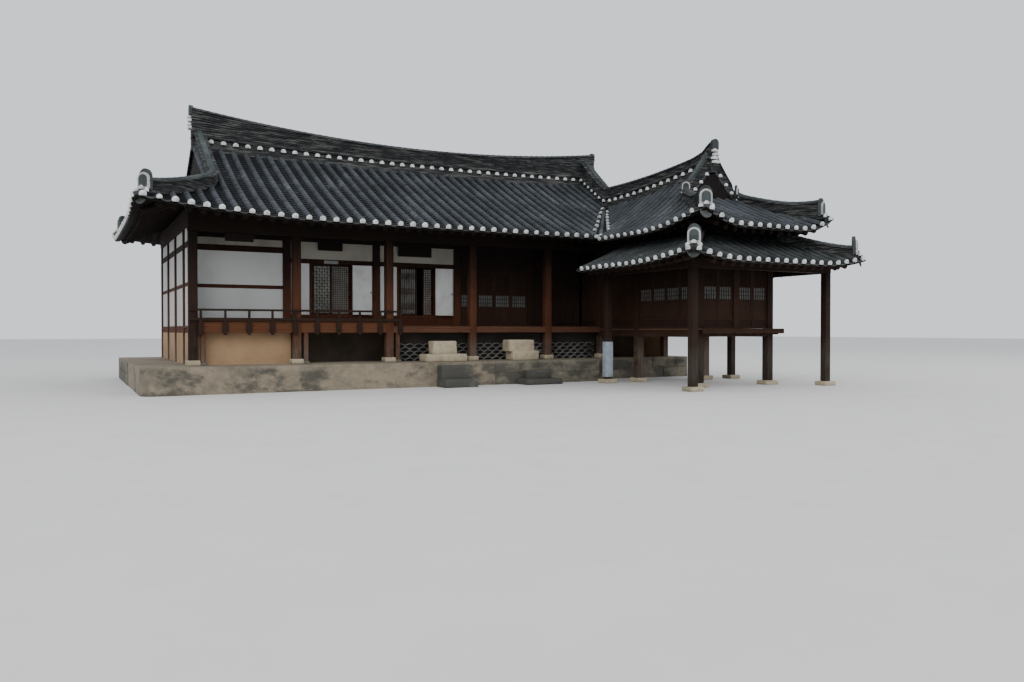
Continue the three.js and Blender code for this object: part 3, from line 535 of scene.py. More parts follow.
@dataclass
class Piece:
    """One piece in the making, in plan metres."""

    name: str
    mesh: bmesh.types.BMesh = field(default_factory=bmesh.new)

    def box(self, xs: Span, ys: Span, zs: Span, place: Matrix | None = None) -> None:
        """Adds a box.

        Args:
            xs: Where it starts and ends along X.
            ys: Where it starts and ends along Y.
            zs: Where it starts and ends along Z.
            place: The matrix of its own axes, if it isn't square to the house.
        """
        spans = (xs, ys, zs)
        middle = Matrix.Translation([(span[0] + span[1]) / 2 for span in spans])
        size = Matrix.Diagonal([*(abs(span[1] - span[0]) for span in spans), 1])
        bmesh.ops.create_cube(self.mesh, size=1.0, matrix=(place or Matrix()) @ middle @ size)

    def soften(self, width: float, segments: int = 1) -> None:
        """Bevels every edge made so far, with a number of faces round it."""
        bmesh.ops.bevel(
            self.mesh, geom=self.mesh.edges[:], offset=width, offset_type="OFFSET", affect="EDGES",
            segments=segments, profile=0.5, material=-1, clamp_overlap=True,
        )

    def strip(self, rows: int, columns: int, place: Callable[[int, int], Vector]) -> list[bmesh.types.BMVert]:
        """Lays a grid along a path.

        Args:
            rows: Stations along the path.
            columns: Points across it, to the left of the way it runs.
            place: The point of a row and a column.

        Returns:
            The grid's vertices.
        """
        made = bmesh.ops.create_grid(self.mesh, x_segments=rows - 1, y_segments=columns - 1, size=1.0)
        for vert in made["verts"]:
            i = round((vert.co.x + 1) / 2 * (rows - 1))
            j = round((vert.co.y + 1) / 2 * (columns - 1))
            vert.co = place(i, j)
        return made["verts"]

    def tube(self, rows: int, sides: int, place: Callable[[int, int], Vector]) -> None:
        """Lays a closed tube along a path and caps its ends.

        Args:
            rows: Stations along the path.
            sides: Points round it.
            place: The point of a row and a side.
        """
        made = self.strip(rows, sides + 1, lambda i, j: place(i, j % sides))
        bmesh.ops.remove_doubles(self.mesh, verts=made, dist=1e-5)
        bmesh.ops.holes_fill(self.mesh, edges=[edge for edge in self.mesh.edges if edge.is_boundary], sides=0)

    def rod(self, start: Vector, end: Vector, radius: float, sides: int = 8) -> None:
        """Adds a round bar between two points.

        Args:
            start: One end.
            end: The other end.
            radius: Its radius.
            sides: How many sides it has.
        """
        run = end - start
        turn = run.to_track_quat("Z", "Y").to_matrix().to_4x4()
        self.cylinder(radius, run.length, sides, Matrix.Translation((start + end) / 2) @ turn)

    def cylinder(self, radius: float, depth: float, sides: int, place: Matrix) -> None:
        """Adds a capped cylinder around the Z axis of a matrix."""
        bmesh.ops.create_cone(
            self.mesh, cap_ends=True, segments=sides, radius1=radius, radius2=radius, depth=depth,
            matrix=place,
        )

    def grow(self) -> list[bmesh.types.BMVert]:
        """Extrudes every face, and gives the new vertices where they still lie on the old ones."""
        grown = bmesh.ops.extrude_face_region(self.mesh, geom=self.mesh.faces[:])
        return [part for part in grown["geom"] if isinstance(part, bmesh.types.BMVert)]

    def turn_out(self) -> None:
        """Turns every face outwards."""
        bmesh.ops.recalc_face_normals(self.mesh, faces=self.mesh.faces[:])

    def stamp(self, shape: bpy.types.Mesh, matrix: Matrix) -> None:
        """Adds a copy of a small shape, moved from the origin by a matrix."""
        copied = shape.copy()
        copied.transform(matrix)
        self.mesh.from_mesh(copied)
        bpy.data.meshes.remove(copied)

    def shape(self) -> bpy.types.Mesh:
        """Ends the piece as a mesh."""
        made = bpy.data.meshes.new(self.name)
        self.mesh.to_mesh(made)
        self.mesh.free()
        return made

    def mould(self, depth: float = 0.0) -> bpy.types.Mesh:
        """Ends the piece as a closed shape to stamp, a sheet with its depth along Y."""
        if depth:
            bmesh.ops.translate(self.mesh, verts=self.grow(), vec=(0, depth, 0))
        self.turn_out()
        return self.shape()

    def dress(
        self, finish: Finish, nodes: Iterable[str] = (), body: str = "house", smooth: float | None = 35,
        close: bool = False,
    ) -> None:
        """Ends the piece as an object of the scene.

        Args:
            finish: What it is dressed in.
            nodes: The CAD nodes that it stands for.
            body: The body that it rides on.
            smooth: The angle up to which its shading is smooth, or None for flat faces.
            close: Whether it is a closed shell whose faces are turned outwards.
        """
        if close:
            bmesh.ops.remove_doubles(self.mesh, verts=self.mesh.verts[:], dist=1e-5)
            self.turn_out()
        bmesh.ops.transform(self.mesh, matrix=PLAN, verts=self.mesh.verts[:])
        made = self.shape()
        if smooth is not None:
            made.shade_smooth()
            made.set_sharp_from_angle(angle=math.radians(smooth))
        thing = bpy.data.objects.new(self.name, made)
        bpy.context.scene.collection.objects.link(thing)
        made.materials.append(dressed(finish))
        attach(thing, body)
        if nodes:
            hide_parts(*nodes)
        made.calc_loop_triangles()
        LOG.info("%-28s %7d triangles", self.name, len(made.loop_triangles))


def pieces(name: str, *parts: str) -> Iterable[Piece]:
    """Starts the pieces of one thing, each named after it and its own part."""
    return (Piece(f"{name}_{part}") for part in parts)


@dataclass(frozen=True)
class Station:
    """A point of a path with the way to its left and the way up."""

    point: Vector
    left: Vector
    up: Vector

    def at(self, across: float, above: float) -> Vector:
        """The point across and above this one; across runs from right to left."""
        return self.point + self.left * across + self.up * above

    def matrix(self) -> Matrix:
        """The matrix whose X runs up the path, Y to its left and Z off its surface."""
        return axes_at(self.point, self.left.cross(self.up), self.left, self.up)


def wobble(*key: float) -> float:
    """A fixed number from -1 to 1 for a place, the same in every run."""
    return noise.noise(Vector((key[0] * 7.31, key[1] * 5.17, (key[2] if len(key) > 2 else 0.5) * 3.93))) * 1.6


def sag(share: float) -> float:
    """The hollow curve of a roof slope."""
    return 0.92 * share + 0.08 * share * share


def corner_share(offset: float) -> float:
    """How much an eave rises towards a corner."""
    return max(0.0, (abs(offset) - 0.45) / 0.55) ** 2


class Face(Enum):
    """The slopes of a roof, as the way each one climbs in plan."""

    FRONT = (0, 1)
    REAR = (0, -1)
    LEFT = (1, 0)
    RIGHT = (-1, 0)


class GabledRoof:
    """A roof whose ends break into a gable wall above a skirt."""

    gable: float

    def surface(self, x: float, y: float, gable: float) -> float:
        """The outer height at a plan point, with the gable line at a distance from the eave."""
        raise NotImplementedError(type(self).__name__)

    def top(self, x: float, y: float) -> float:
        """The roof's outer height."""
        return self.surface(x, y, self.gable + 0.01)

    def inner(self, x: float, y: float) -> float:
        """The same height with the gable line moved in by the gable wall."""
        return self.surface(x, y, self.gable + 0.18)


@dataclass(frozen=True)
class MainRoof(GabledRoof):
    """The hip-and-gable roof of the long wing."""

    left: float = -1.30
    right: float = 14.83
    front: float = -1.20
    rear: float = 7.60
    gable: float = 1.75
    eave: float = 4.13
    rise: float = 2.20
    ridge_lift: float = 0.20
    corner_lift: float = 0.30
    ridge_half: float = 0.15
    ridge_y: float = 3.20
    half: float = 4.40
    middle_x: float = 6.765

    def surface(self, x: float, y: float, gable: float) -> float:
        """The outer height at a plan point, with the gable line at a distance from the end."""
        along = (x - self.middle_x) / (self.right - self.middle_x)
        across = (y - self.ridge_y) / self.half
        to_side = min(y - self.front, self.rear - y, self.half - self.ridge_half)
        to_end = min(x - self.left, self.right - x)
        share = min(to_side, to_side if to_end > gable else to_end) / self.half
        free = 0.0 if along > 0 > across else self.corner_lift
        lift = self.ridge_lift * along ** 2 * share ** 3 + free * corner_share(along) * corner_share(across)
        return self.eave + self.rise * sag(share) + lift

    def face(self, x: float, y: float) -> Face:
        """The slope that a plan point lies on."""
        to_end = min(x - self.left, self.right - x)
        to_side = min(y - self.front, self.rear - y)
        if to_end < to_side and to_end <= self.gable:
            return Face.LEFT if x < self.middle_x else Face.RIGHT
        return Face.FRONT if y < self.ridge_y else Face.REAR


@dataclass(frozen=True)
class UpperRoof(GabledRoof):
    """The upper hip-and-gable roof of the pavilion."""

    middle_x: float = 12.68
    half: float = 2.15
    front: float = -5.65
    gable: float = 2.15
    back: float = 2.40
    meets_y: float = 1.50
    eave: float = 4.06
    rise: float = 1.40
    ridge_lift: float = 0.48
    skirt_rise: float = 0.95
    corner_lift: float = 0.40
    ridge_half: float = 0.13

    def heights(self, x: float, y: float) -> Span:
        """The heights of the side slope and of the front skirt above the eave."""
        share = (self.half - max(abs(x - self.middle_x), self.ridge_half)) / self.half
        along = max(0.0, (self.meets_y - y) / (self.meets_y - self.front - self.gable))
        side = self.rise * sag(share) + self.ridge_lift * along ** 2 * share ** 3
        return side, self.skirt_rise * sag((y - self.front) / self.half)

    def surface(self, x: float, y: float, gable: float) -> float:
        """The outer height at a plan point, with the gable line at a distance from the eave."""
        side, skirt = self.heights(x, y)
        to_front = y - self.front
        low = min(side, side if to_front > gable else skirt)
        lift = corner_share((x - self.middle_x) / self.half) * max(0.0, 1 - to_front / 2.6) ** 2
        return self.eave + low + self.corner_lift * lift

    def face(self, x: float, y: float) -> Face:
        """The slope that a plan point lies on."""
        side, skirt = self.heights(x, y)
        if skirt < side and y - self.front <= self.gable:
            return Face.FRONT
        return Face.LEFT if x < self.middle_x else Face.RIGHT

    def covers(self, x: float, y: float) -> bool:
        """Whether a plan point lies under this roof."""
        return abs(x - self.middle_x) < self.half and self.front < y < self.back


@dataclass(frozen=True)
class LowerRoof:
    """The lower roof round three sides of the pavilion."""

    middle_x: float = 12.68
    half: float = 2.88
    front: float = -6.05
    back: float = -1.40
    eave: float = 3.18
    rise: float = 0.76
    corner_lift: float = 0.21
    depth: float = 1.68
    body_half: float = 1.3103
    body_front: float = -4.4303

    def top(self, x: float, y: float) -> float:
        """The roof's outer height."""
        across = abs(x - self.middle_x)
        to_eave = min(self.half - across, y - self.front)
        lift = corner_share(across / self.half) * max(0.0, 1 - (y - self.front) / 2.6) ** 2
        return self.eave + self.rise * sag(min(to_eave / self.depth, 1.2)) + self.corner_lift * lift

    def face(self, x: float, y: float) -> Face:
        """The slope that a plan point lies on."""
        if y - self.front < self.half - abs(x - self.middle_x):
            return Face.FRONT
        return Face.LEFT if x < self.middle_x else Face.RIGHT

    def outside(self, x: float, y: float) -> bool:
        """Whether a plan point lies outside the pavilion's walls."""
        return abs(x - self.middle_x) >= self.body_half or y <= self.body_front


MAIN = MainRoof()
UPPER = UpperRoof()
LOWER = LowerRoof()


@dataclass(frozen=True)
class Run:
    """One straight line of tiles, from its foot up the slope."""

    foot: Vector
    climb: Vector
    length: float
    height: Height

    def height_at(self, distance: float) -> float:
        """The roof's height at a distance along the run."""
        return self.height(*(self.foot + self.climb * distance))

    def station(self, along: float, lift: float = 0.0) -> Station:
        """The station at a distance up the run.

        Args:
            along: The plan distance from the foot.
            lift: How far off the roof's surface.

        Returns:
            The station, with its up at right angles to the slope.
        """
        near = min(max(along, 0.03), max(self.length - 0.03, 0.03))
        slope = (self.height_at(near + 0.03) - self.height_at(near - 0.03)) / 0.06
        flat = self.foot + self.climb * along
        way = Vector((self.climb.x, self.climb.y, slope)).normalized()
        left = Vector((-self.climb.y, self.climb.x, 0))
        up = way.cross(left)
        level = self.height_at(near) + slope * (along - near)
        return Station(Vector((flat.x, flat.y, level)) + up * lift, left, up)


@dataclass
class TiledSlope:
    """The tiles of one slope: rows of round covers over hollow pans, closed with lime at their feet."""

    name: str
    face: Face
    span: Span
    eave: float
    reach: float
    height: Height
    shown: Shown
    spacing: float = 0.322
    radius: float = 0.080
    cover: float = 0.30
    course: float = 0.13
    pan_half: float = 0.105
    pan_sag: float = 0.036
    bed: float = 0.055
    overhang: float = 0.05
    knob: float = 0.078
    finish: Finish = COVER_TILE

    def runs(self, lines: Iterable[float], reach: float | None = None) -> list[Run]:
        """The runs up the slope, each as long as the slope shows.

        Args:
            lines: Where the runs lie, across the way they climb.
            reach: How far up the slope they go in plan, if not all the way.

        Returns:
            The runs that are longer than a third of a tile.
        """
        climb = Vector(self.face.value)
        across = Vector((abs(climb.y), abs(climb.x)))
        along = Vector((abs(climb.x), abs(climb.y)))
        step = 0.02
        steps = range(int((reach or self.reach) / step))
        made = []
        for line in lines:
            foot = across * line + along * self.eave
            seen = [k for k in steps if self.shown(*(foot + climb * (k * step)))]
            if not seen:
                continue
            last = seen[0]
            for k in seen:
                if k - last > 1:
                    break
                last = k
            if (last - seen[0]) * step > 0.1:
                made.append(Run(foot + climb * (seen[0] * step), climb, (last - seen[0]) * step, self.height))
        return made

    def columns(self, pans: bool) -> list[Run]:
        """The runs of the covers, or of the pans half a step beside them."""
        count = round((self.span[1] - self.span[0]) / self.spacing)
        step = (self.span[1] - self.span[0]) / count
        if pans:
            return self.runs(self.span[0] + step * k for k in range(count + 1))
        return self.runs(self.span[0] + step * (k + 0.5) for k in range(count))

    def lay_cover(self, piece: Piece, run: Run) -> None:
        """Lays one row of covers, each tucked under the next one up."""
        count = max(1, round(run.length / self.cover))
        step = run.length / count
        sides = 6

        def place(i: int, j: int) -> Vector:
            """A point of the stepped half tube."""
            tile = (i + 1) // 2
            radius = self.radius - (0.007 if i % 2 else 0.0)
            sway = wobble(run.foot.x + run.foot.y, tile if i % 2 == 0 else tile - 1) * 0.004
            turn = math.radians(-12 + 204 * j / sides)
            station = run.station(tile * step - (0.02 if i == 0 else 0), -self.bed)
            return station.at(sway - math.cos(turn) * radius, math.sin(turn) * radius)

        piece.strip(2 * count, sides + 1, place)

    def lay_pan(self, piece: Piece, run: Run) -> None:
        """Lays one row of pans with the step of every course, and a lip at the foot."""
        count = max(1, round((run.length + self.overhang) / self.course))
        step = (run.length + self.overhang) / count
        points = 5

        def place(i: int, j: int) -> Vector:
            """A point of the stepped trough."""
            side = 2 * j / (points - 1) - 1
            hollow = self.pan_sag * (side * side - 1)
            if i == 0:
                return run.station(-self.overhang, -self.bed).at(side * self.pan_half, hollow - 0.035)
            raised = 0.024 if i % 2 else 0.0
            station = run.station(i // 2 * step - self.overhang, -self.bed)
            return station.at(side * self.pan_half, hollow + raised)

        piece.strip(2 * count + 1, points, place)

    def lay_lip(self, piece: Piece, run: Run) -> None:
        """Lays the pale edge of the lowest pan."""
        def place(i: int, j: int) -> Vector:
            """A point of the edge."""
            side = j / 3 - 1
            hollow = self.pan_sag * (side * side - 1)
            station = run.station(-self.overhang - 0.004, -self.bed)
            return station.at(side * self.pan_half * 1.15, hollow - (0.030 if i == 0 else 0.004))

        piece.strip(2, 7, place)

    def build(self) -> None:
        """Makes the slope's covers, its pans, their lime knobs and pale edges."""
        covers, pans, knobs, lips = pieces(self.name, "covers", "pans", "knobs", "lips")
        for run in self.columns(False):
            self.lay_cover(covers, run)
            size = self.knob * (1.0 + 0.12 * wobble(run.foot.x * 3.1, run.foot.y * 2.3))
            place = run.station(-0.042, -self.bed).matrix()
            knobs.stamp(knob_shape(), place @ Matrix.Diagonal((0.038, size, size, 1)))
        for run in self.columns(True):
            self.lay_pan(pans, run)
            self.lay_lip(lips, run)
        covers.dress(self.finish)
        # Pans in the darker tile: painted shade between the covers
        pans.dress(SHADED_PAN_TILE)
        knobs.dress(LIME, smooth=60)
        lips.dress(END_TILE)


@cache
def knob_shape() -> bpy.types.Mesh:
    """A round lime knob of radius 1 with a flat foot."""
    piece = Piece("knob_shape")
    bmesh.ops.create_uvsphere(piece.mesh, u_segments=12, v_segments=8, radius=1.0)
    cut = bmesh.ops.bisect_plane(
        piece.mesh, geom=[*piece.mesh.verts, *piece.mesh.edges, *piece.mesh.faces], plane_co=(0, 0, -0.38),
        plane_no=(0, 0, -1), clear_outer=True,
    )
    rim = [part for part in cut["geom_cut"] if isinstance(part, bmesh.types.BMEdge)]
    bmesh.ops.holes_fill(piece.mesh, edges=rim, sides=0)
    return piece.mould()


@dataclass
class Deck:
    """The boarded bed under a roof's tiles, with its edge at the eaves."""

    name: str
    xs: Sequence[float]
    ys: Sequence[float]
    top: Height
    under: Height
    keep: Shown
    nodes: tuple[str, ...]

    def build(self) -> None:
        """Makes the bed as a sheet over plan stations, then gives it its depth."""
        piece = Piece(self.name)
        piece.strip(
            len(self.xs), len(self.ys),
            lambda i, j: Vector((self.xs[i], self.ys[j], self.top(self.xs[i], self.ys[j]) - 0.125)),
        )
        hidden = [face for face in piece.mesh.faces if not self.keep(*face.calc_center_median().xy)]
        bmesh.ops.delete(piece.mesh, geom=hidden, context="FACES")
        for vert in piece.grow():
            vert.co.z = self.under(vert.co.x, vert.co.y) - 0.165
        piece.turn_out()
        piece.dress(SOFFIT, self.nodes, smooth=None)


def stations_of(*lists: Sequence[float]) -> list[float]:
    """All the numbers in order, without near doubles."""
    kept: list[float] = []
    for value in sorted(value for numbers in lists for value in numbers):
        if not kept or value - kept[-1] > 0.005:
            kept.append(value)
    return kept


@dataclass
class RidgePath:
    """The path of one ridge over a roof: plan points, each with what is added to its height."""

    surface: Height
    points: Sequence[Point]
    width: float
    height: float
    step: float = 0.2

    def stations(self) -> list[tuple[Station, float]]:
        """The stations along the path, each with the ridge's height there."""
        flat: list[tuple[Vector, float]] = []
        for (x0, y0, e0), (x1, y1, e1) in zip(self.points, self.points[1:]):
            count = max(1, round(math.hypot(x1 - x0, y1 - y0) / self.step))
            flat += [
                (Vector((x0 + (x1 - x0) * k / count, y0 + (y1 - y0) * k / count)), e0 + (e1 - e0) * k / count)
                for k in range(count)
            ]
        flat.append((Vector(self.points[-1][:2]), self.points[-1][2]))
        made = []
        for k, (spot, extra) in enumerate(flat):
            way = (flat[min(k + 1, len(flat) - 1)][0] - flat[max(k - 1, 0)][0]).normalized()
            point = Vector((spot.x, spot.y, self.surface(spot.x, spot.y)))
            made.append((Station(point, Vector((-way.y, way.x, 0)), UP), self.height + extra))
        return made


@dataclass
class StackedRidge:
    """A ridge of thin tiles laid in courses, with a round cap along its top."""

    name: str
    stations: Sequence[tuple[Station, float]]
    width: float
    nodes: tuple[str, ...]
    banded: bool = False
    sink: float = 0.08
    course: float = 0.042
    cap: float = 0.080
    band: float = 0.33
    knob_step: float = 0.322

    def outline(self, k: int, height: float, count: int) -> list[Spot]:
        """The right half of the stack at one station, from its foot up.

        Args:
            k: The station's number.
            height: The ridge's height there.
            count: How many courses it has.

        Returns:
            Points across and above the station.
        """
        half = self.width / 2
        body = height - self.cap - 0.03
        points = [(-half + 0.02, -self.sink)]
        foot = 0.0
        if self.banded:
            points += [
                (-half + 0.03, self.band - 0.10), (-half - 0.025, self.band - 0.09),
                (-half - 0.042, self.band - 0.05), (-half - 0.025, self.band - 0.01),
                (-half + 0.02, self.band),
            ]
            foot = self.band + 0.01
        for c in range(count):
            out = half + wobble(k * 0.37, c * 1.9) * 0.008
            low, high = foot + (body - foot) * c / count, foot + (body - foot) * (c + 0.66) / count
            points += [(-out, low), (-out, high), (-half + 0.026, high + 0.004)]
        points += [(-half - 0.03, body), (-half - 0.03, body + 0.028), (-self.cap - 0.012, body + 0.032)]
        return points

    def build(self) -> None:
        """Makes the courses and the cap, and the knobs at the foot of a banded ridge."""
        mean = sum(height for _, height in self.stations) / len(self.stations)
        count = max(3, round((mean - self.cap - 0.02 - (self.band if self.banded else 0)) / self.course))
        stack, cap = pieces(self.name, "stack", "cap")
        rings = []
        for k, (_, height) in enumerate(self.stations):
            right = self.outline(k, height, count)
            rings.append([*right, *((-across, above) for across, above in reversed(right))])
        stack.tube(len(rings), len(rings[0]), lambda i, j: self.stations[i][0].at(*rings[i][j]))
        stack.dress(STACKED, self.nodes, smooth=30)

        arc = [math.radians(-8 + 196 * j / 8) for j in range(9)]
        for (first, low), (second, high) in zip(self.stations, self.stations[1:]):
            pair = [(first, low, self.cap + 0.004), (second, high, self.cap - 0.004)]

            def place(i: int, j: int) -> Vector:
                """A point of the half tube between two stations."""
                station, height, radius = pair[i]
                up = height - self.cap + math.sin(arc[j]) * radius - 0.004
                return station.at(-math.cos(arc[j]) * radius, up)

            cap.strip(2, 9, place)
        cap.dress(CAP_TILE)
        if self.banded:
            self.knobs()

    def knobs(self) -> None:
        """Makes the row of lime knobs at each side of the foot."""
        piece = Piece(f"{self.name}_knobs")
        travelled, due = 0.0, self.knob_step / 2
        for (first, _), (second, _) in zip(self.stations, self.stations[1:]):
            step = (second.point - first.point).length
            while due < travelled + step:
                station = replace(first, point=first.point.lerp(second.point, (due - travelled) / step))
                for side in (-1, 1):
                    spot = station.at(side * (self.width / 2 - 0.005), self.band - 0.165)
                    turned = replace(first, point=spot).matrix()
                    piece.stamp(knob_shape(), turned @ Matrix.Diagonal((0.078, 0.045, 0.078, 1)))
                due += self.knob_step
            travelled += step
        piece.dress(LIME, smooth=60)


class EndPieces:
    """The pieces that all ridge ends are part of."""

    def __init__(self) -> None:
        """Starts the pieces."""
        self.lime, self.tile, self.arch, self.tongue = pieces(
            "ridge_end", "lime", "tiles", "arches", "tongues",
        )

    def lay_knob(self, spot: Vector, size: Point) -> None:
        """Adds a lime knob that stands upright."""
        self.lime.stamp(knob_shape(), Matrix.Translation(spot) @ Matrix.Diagonal((*size, 1)))

    def dress(self) -> None:
        """Ends the pieces."""
        self.arch.dress(OLD_LIME, smooth=45)
        self.lime.dress(LIME, smooth=45)
        self.tile.dress(CAP_TILE, smooth=45)
        self.tongue.dress(END_TILE, smooth=45)


@dataclass
class RidgeEnd:
    """What closes a ridge: an arched tile framed in lime, three knobs and a hanging tile, or piled lime."""

    spot: Vector
    facing: Vector
    size: float = 1.0

    def stamp(self, piece: Piece, shape: bpy.types.Mesh, spot: Point, size: Point) -> None:
        """Adds one shape of the end.

        Args:
            piece: The piece that takes it.
            shape: The shape.
            spot: Where it goes, to the right, back into the ridge and up.
            size: The factor on each axis.
        """
        back = -self.facing.normalized()
        place = axes_at(self.spot, Vector((back.y, -back.x, 0)), back) @ Matrix.Scale(self.size, 4)
        piece.stamp(shape, place @ Matrix.Translation(spot) @ Matrix.Diagonal((*size, 1)))

    def hip(self, ends: EndPieces) -> None:
        """Adds the end of a hip ridge."""
        self.stamp(ends.arch, arch_shape(), (0, 0.0, 0.04), (1, 1, 0.92))
        self.stamp(ends.tile, arch_shape(), (0, -0.016, 0.10), (0.72, 0.7, 0.66))
        self.stamp(ends.tile, arch_shape(), (0, 0.055, 0.0), (1.04, 1.6, 1.24))
        for across, up in ((-0.15, -0.02), (0.0, 0.05), (0.15, -0.02)):
            self.stamp(ends.lime, knob_shape(), (across, -0.055, up), (0.072, 0.045, 0.072))
        self.stamp(ends.tongue, tongue_shape(), (0, -0.080, -0.13), (1.12, 1.12, 1.3))

    def piled(self, ends: EndPieces, high: float) -> None:
        """Adds the end of a high ridge: lime piled up to a height, under an upright tile."""
        for k in range(4):
            spot = (0.02 * (-1) ** k, 0.0, high * (k + 0.5) / 4)
            self.stamp(ends.lime, knob_shape(), spot, (0.135 - 0.012 * k, 0.07, high / 6.2))
        self.stamp(ends.tile, arch_shape(), (0, -0.03, high), (0.62, 2.0, 0.62))


@cache
def arch_shape() -> bpy.types.Mesh:
    """An arched plate 0.34 wide and 0.44 tall, its foot at the origin and its depth along Y."""
    half, spring = 0.17, 0.27
    turns = [math.radians(15 * k) for k in range(7)]
    heights = [0.0, 0.14, *(spring + half * math.sin(turn) for turn in turns)]
    widths = [half, half, *(max(half * math.cos(turn), 0.012) for turn in turns)]
    piece = Piece("arch_shape")
    piece.strip(len(heights), 2, lambda i, j: Vector((widths[i] * (1 - 2 * j), 0.0, heights[i])))
    return piece.mould(0.05)


@cache
def tongue_shape() -> bpy.types.Mesh:
    """A hanging end tile: a half disc that curls forward, its upper edge at the origin."""
    piece = Piece("tongue_shape")
    bmesh.ops.create_circle(piece.mesh, cap_ends=True, segments=20, radius=0.16)
    for vert in piece.mesh.verts:
        x, y = vert.co.x, vert.co.y
        vert.co = Vector((x, -0.04 * (1 - (x / 0.16) ** 2), y * 0.25 if y > 0 else y * 1.05))
    return piece.mould(0.022)


@dataclass
class Roofs:
    """All roofs: beds, tiles, ridges and their ends."""

    clear: float = 0.07
    wider: float = 0.12
    lap: float = 0.15
    deck_step: float = 0.30
    verge: float = 0.24
    verge_inset: float = 0.02

    @property
    def gable_y(self) -> float:
        """Where the gable of the pavilion's upper roof stands."""
        return UPPER.front + UPPER.gable

    @property
    def verge_y(self) -> float:
        """The line of the verge ridges over that gable."""
        return self.gable_y + self.verge_inset + self.verge / 2

    def gap(self, y: float) -> float:
        """How far apart in height the two roofs' tiles stop at the valley: more at its foot."""
        return self.clear + self.wider * min(max((1.3 - y) / 2.8, 0.0), 1.0)

    def doubled(self, x: float, y: float) -> bool:
        """Whether the roofs lie on each other, right of the pavilion's ridge: only the upper one is tiled."""
        beside = x > UPPER.middle_x and y < UPPER.back
        return beside and MAIN.top(x, y) < UPPER.top(x, y) + self.lap

    def open_main(self, x: float, y: float) -> bool:
        """Whether the long wing's roof shows at a plan point."""
        if self.doubled(x, y):
            return False
        return not UPPER.covers(x, y) or MAIN.top(x, y) - UPPER.top(x, y) > self.gap(y)

    def open_upper(self, x: float, y: float) -> bool:
        """Whether the pavilion's upper roof shows at a plan point."""
        inside = y > MAIN.front and MAIN.left < x < MAIN.right
        if self.doubled(x, y):
            return True
        return not inside or UPPER.top(x, y) - MAIN.top(x, y) > self.gap(y)

    def slopes(self) -> list[TiledSlope]:
        """The tiled slopes of the three roofs."""
        long, deep = (MAIN.left, MAIN.right), MAIN.half - MAIN.ridge_half
        upper_xs, upper_ys = around(UPPER.middle_x, UPPER.half), (UPPER.front, UPPER.back)
        lower_xs, lower_ys = around(LOWER.middle_x, LOWER.half), (LOWER.front, LOWER.back)
        side = UPPER.half - UPPER.ridge_half
        roofs = (
            ("main", MAIN, self.open_main, {}, (
                (Face.FRONT, long, MAIN.front, deep), (Face.REAR, long, MAIN.rear, deep),
                (Face.LEFT, (MAIN.front, MAIN.rear), MAIN.left, MAIN.gable),
                (Face.RIGHT, (UPPER.back, MAIN.rear), MAIN.right, MAIN.gable),
            )),
            ("upper", UPPER, self.open_upper, {"spacing": 0.30}, (
                (Face.LEFT, upper_ys, upper_xs[0], side), (Face.RIGHT, upper_ys, upper_xs[1], side),
                (Face.FRONT, upper_xs, UPPER.front, UPPER.gable),
            )),
            # The lower roof's covers take the darker tile: painted shade from the upper roof
            ("lower", LOWER, LOWER.outside, {"spacing": 0.30, "finish": SHADED_LOWER_TILE}, (
                (Face.LEFT, lower_ys, lower_xs[0], 1.56), (Face.RIGHT, lower_ys, lower_xs[1], 1.56),
                (Face.FRONT, lower_xs, LOWER.front, 1.61),
            )),
        )

        def showing(roof: GabledRoof | LowerRoof, face: Face, uncovered: Shown) -> Shown:
            """Tells where one slope of a roof shows."""
            return lambda x, y: roof.face(x, y) is face and uncovered(x, y)

        return [
            TiledSlope(
                f"{name}_{face.name.lower()}", face, span, eave, reach, roof.top,
                showing(roof, face, uncovered), **looks,
            )
            for name, roof, uncovered, looks, rows in roofs for face, span, eave, reach in rows
        ]

    def decks(self) -> list[Deck]:
        """The beds of the three roofs."""
        def gable_faces(line: float, way: int) -> list[float]:
            """Close stations at a gable wall's two faces."""
            return [line + way * d for d in (0, 0.02, 0.17, 0.19)]

        def grid(*marks: float) -> list[float]:
            """Stations a deck step apart between pairs of marks."""
            return stations_of(*(
                spread(low, high, round((high - low) / self.deck_step))
                for low, high in zip(marks[::2], marks[1::2])
            ))

        left, right = MAIN.left + MAIN.gable, MAIN.right - MAIN.gable
        upper_left, upper_right = around(UPPER.middle_x, UPPER.half)
        lower_left, lower_right = around(LOWER.middle_x, LOWER.half)
        body_left, body_right = around(LOWER.middle_x, LOWER.body_half)
        main_xs = stations_of(
            grid(MAIN.left, left, left + 0.5, right - 0.5, right, MAIN.right), gable_faces(left, 1),
            gable_faces(right, -1),
        )
        main_ys = grid(MAIN.front, MAIN.ridge_y - MAIN.ridge_half, MAIN.ridge_y + MAIN.ridge_half, MAIN.rear)
        upper_xs = grid(
            upper_left, UPPER.middle_x - UPPER.ridge_half, UPPER.middle_x + UPPER.ridge_half, upper_right,
        )
        upper_ys = stations_of(
            grid(UPPER.front, self.gable_y, self.gable_y + 0.5, UPPER.back), gable_faces(self.gable_y, 1),
        )
        lower_xs = grid(lower_left, body_left, body_left, body_right, body_right, lower_right)
        lower_ys = grid(LOWER.front, LOWER.body_front, LOWER.body_front, LOWER.back)

        def keep_main(x: float, y: float) -> bool:
            """Whether the long wing's bed goes on, a little way into the other roof."""
            free = not UPPER.covers(x, y) or MAIN.top(x, y) > UPPER.top(x, y) - 0.12
            return free and not self.doubled(x, y)

        def keep_upper(x: float, y: float) -> bool:
            """Whether the upper roof's bed goes on, a little way into the other roof."""
            return y < MAIN.front or self.doubled(x, y) or UPPER.top(x, y) > MAIN.top(x, y) - 0.12

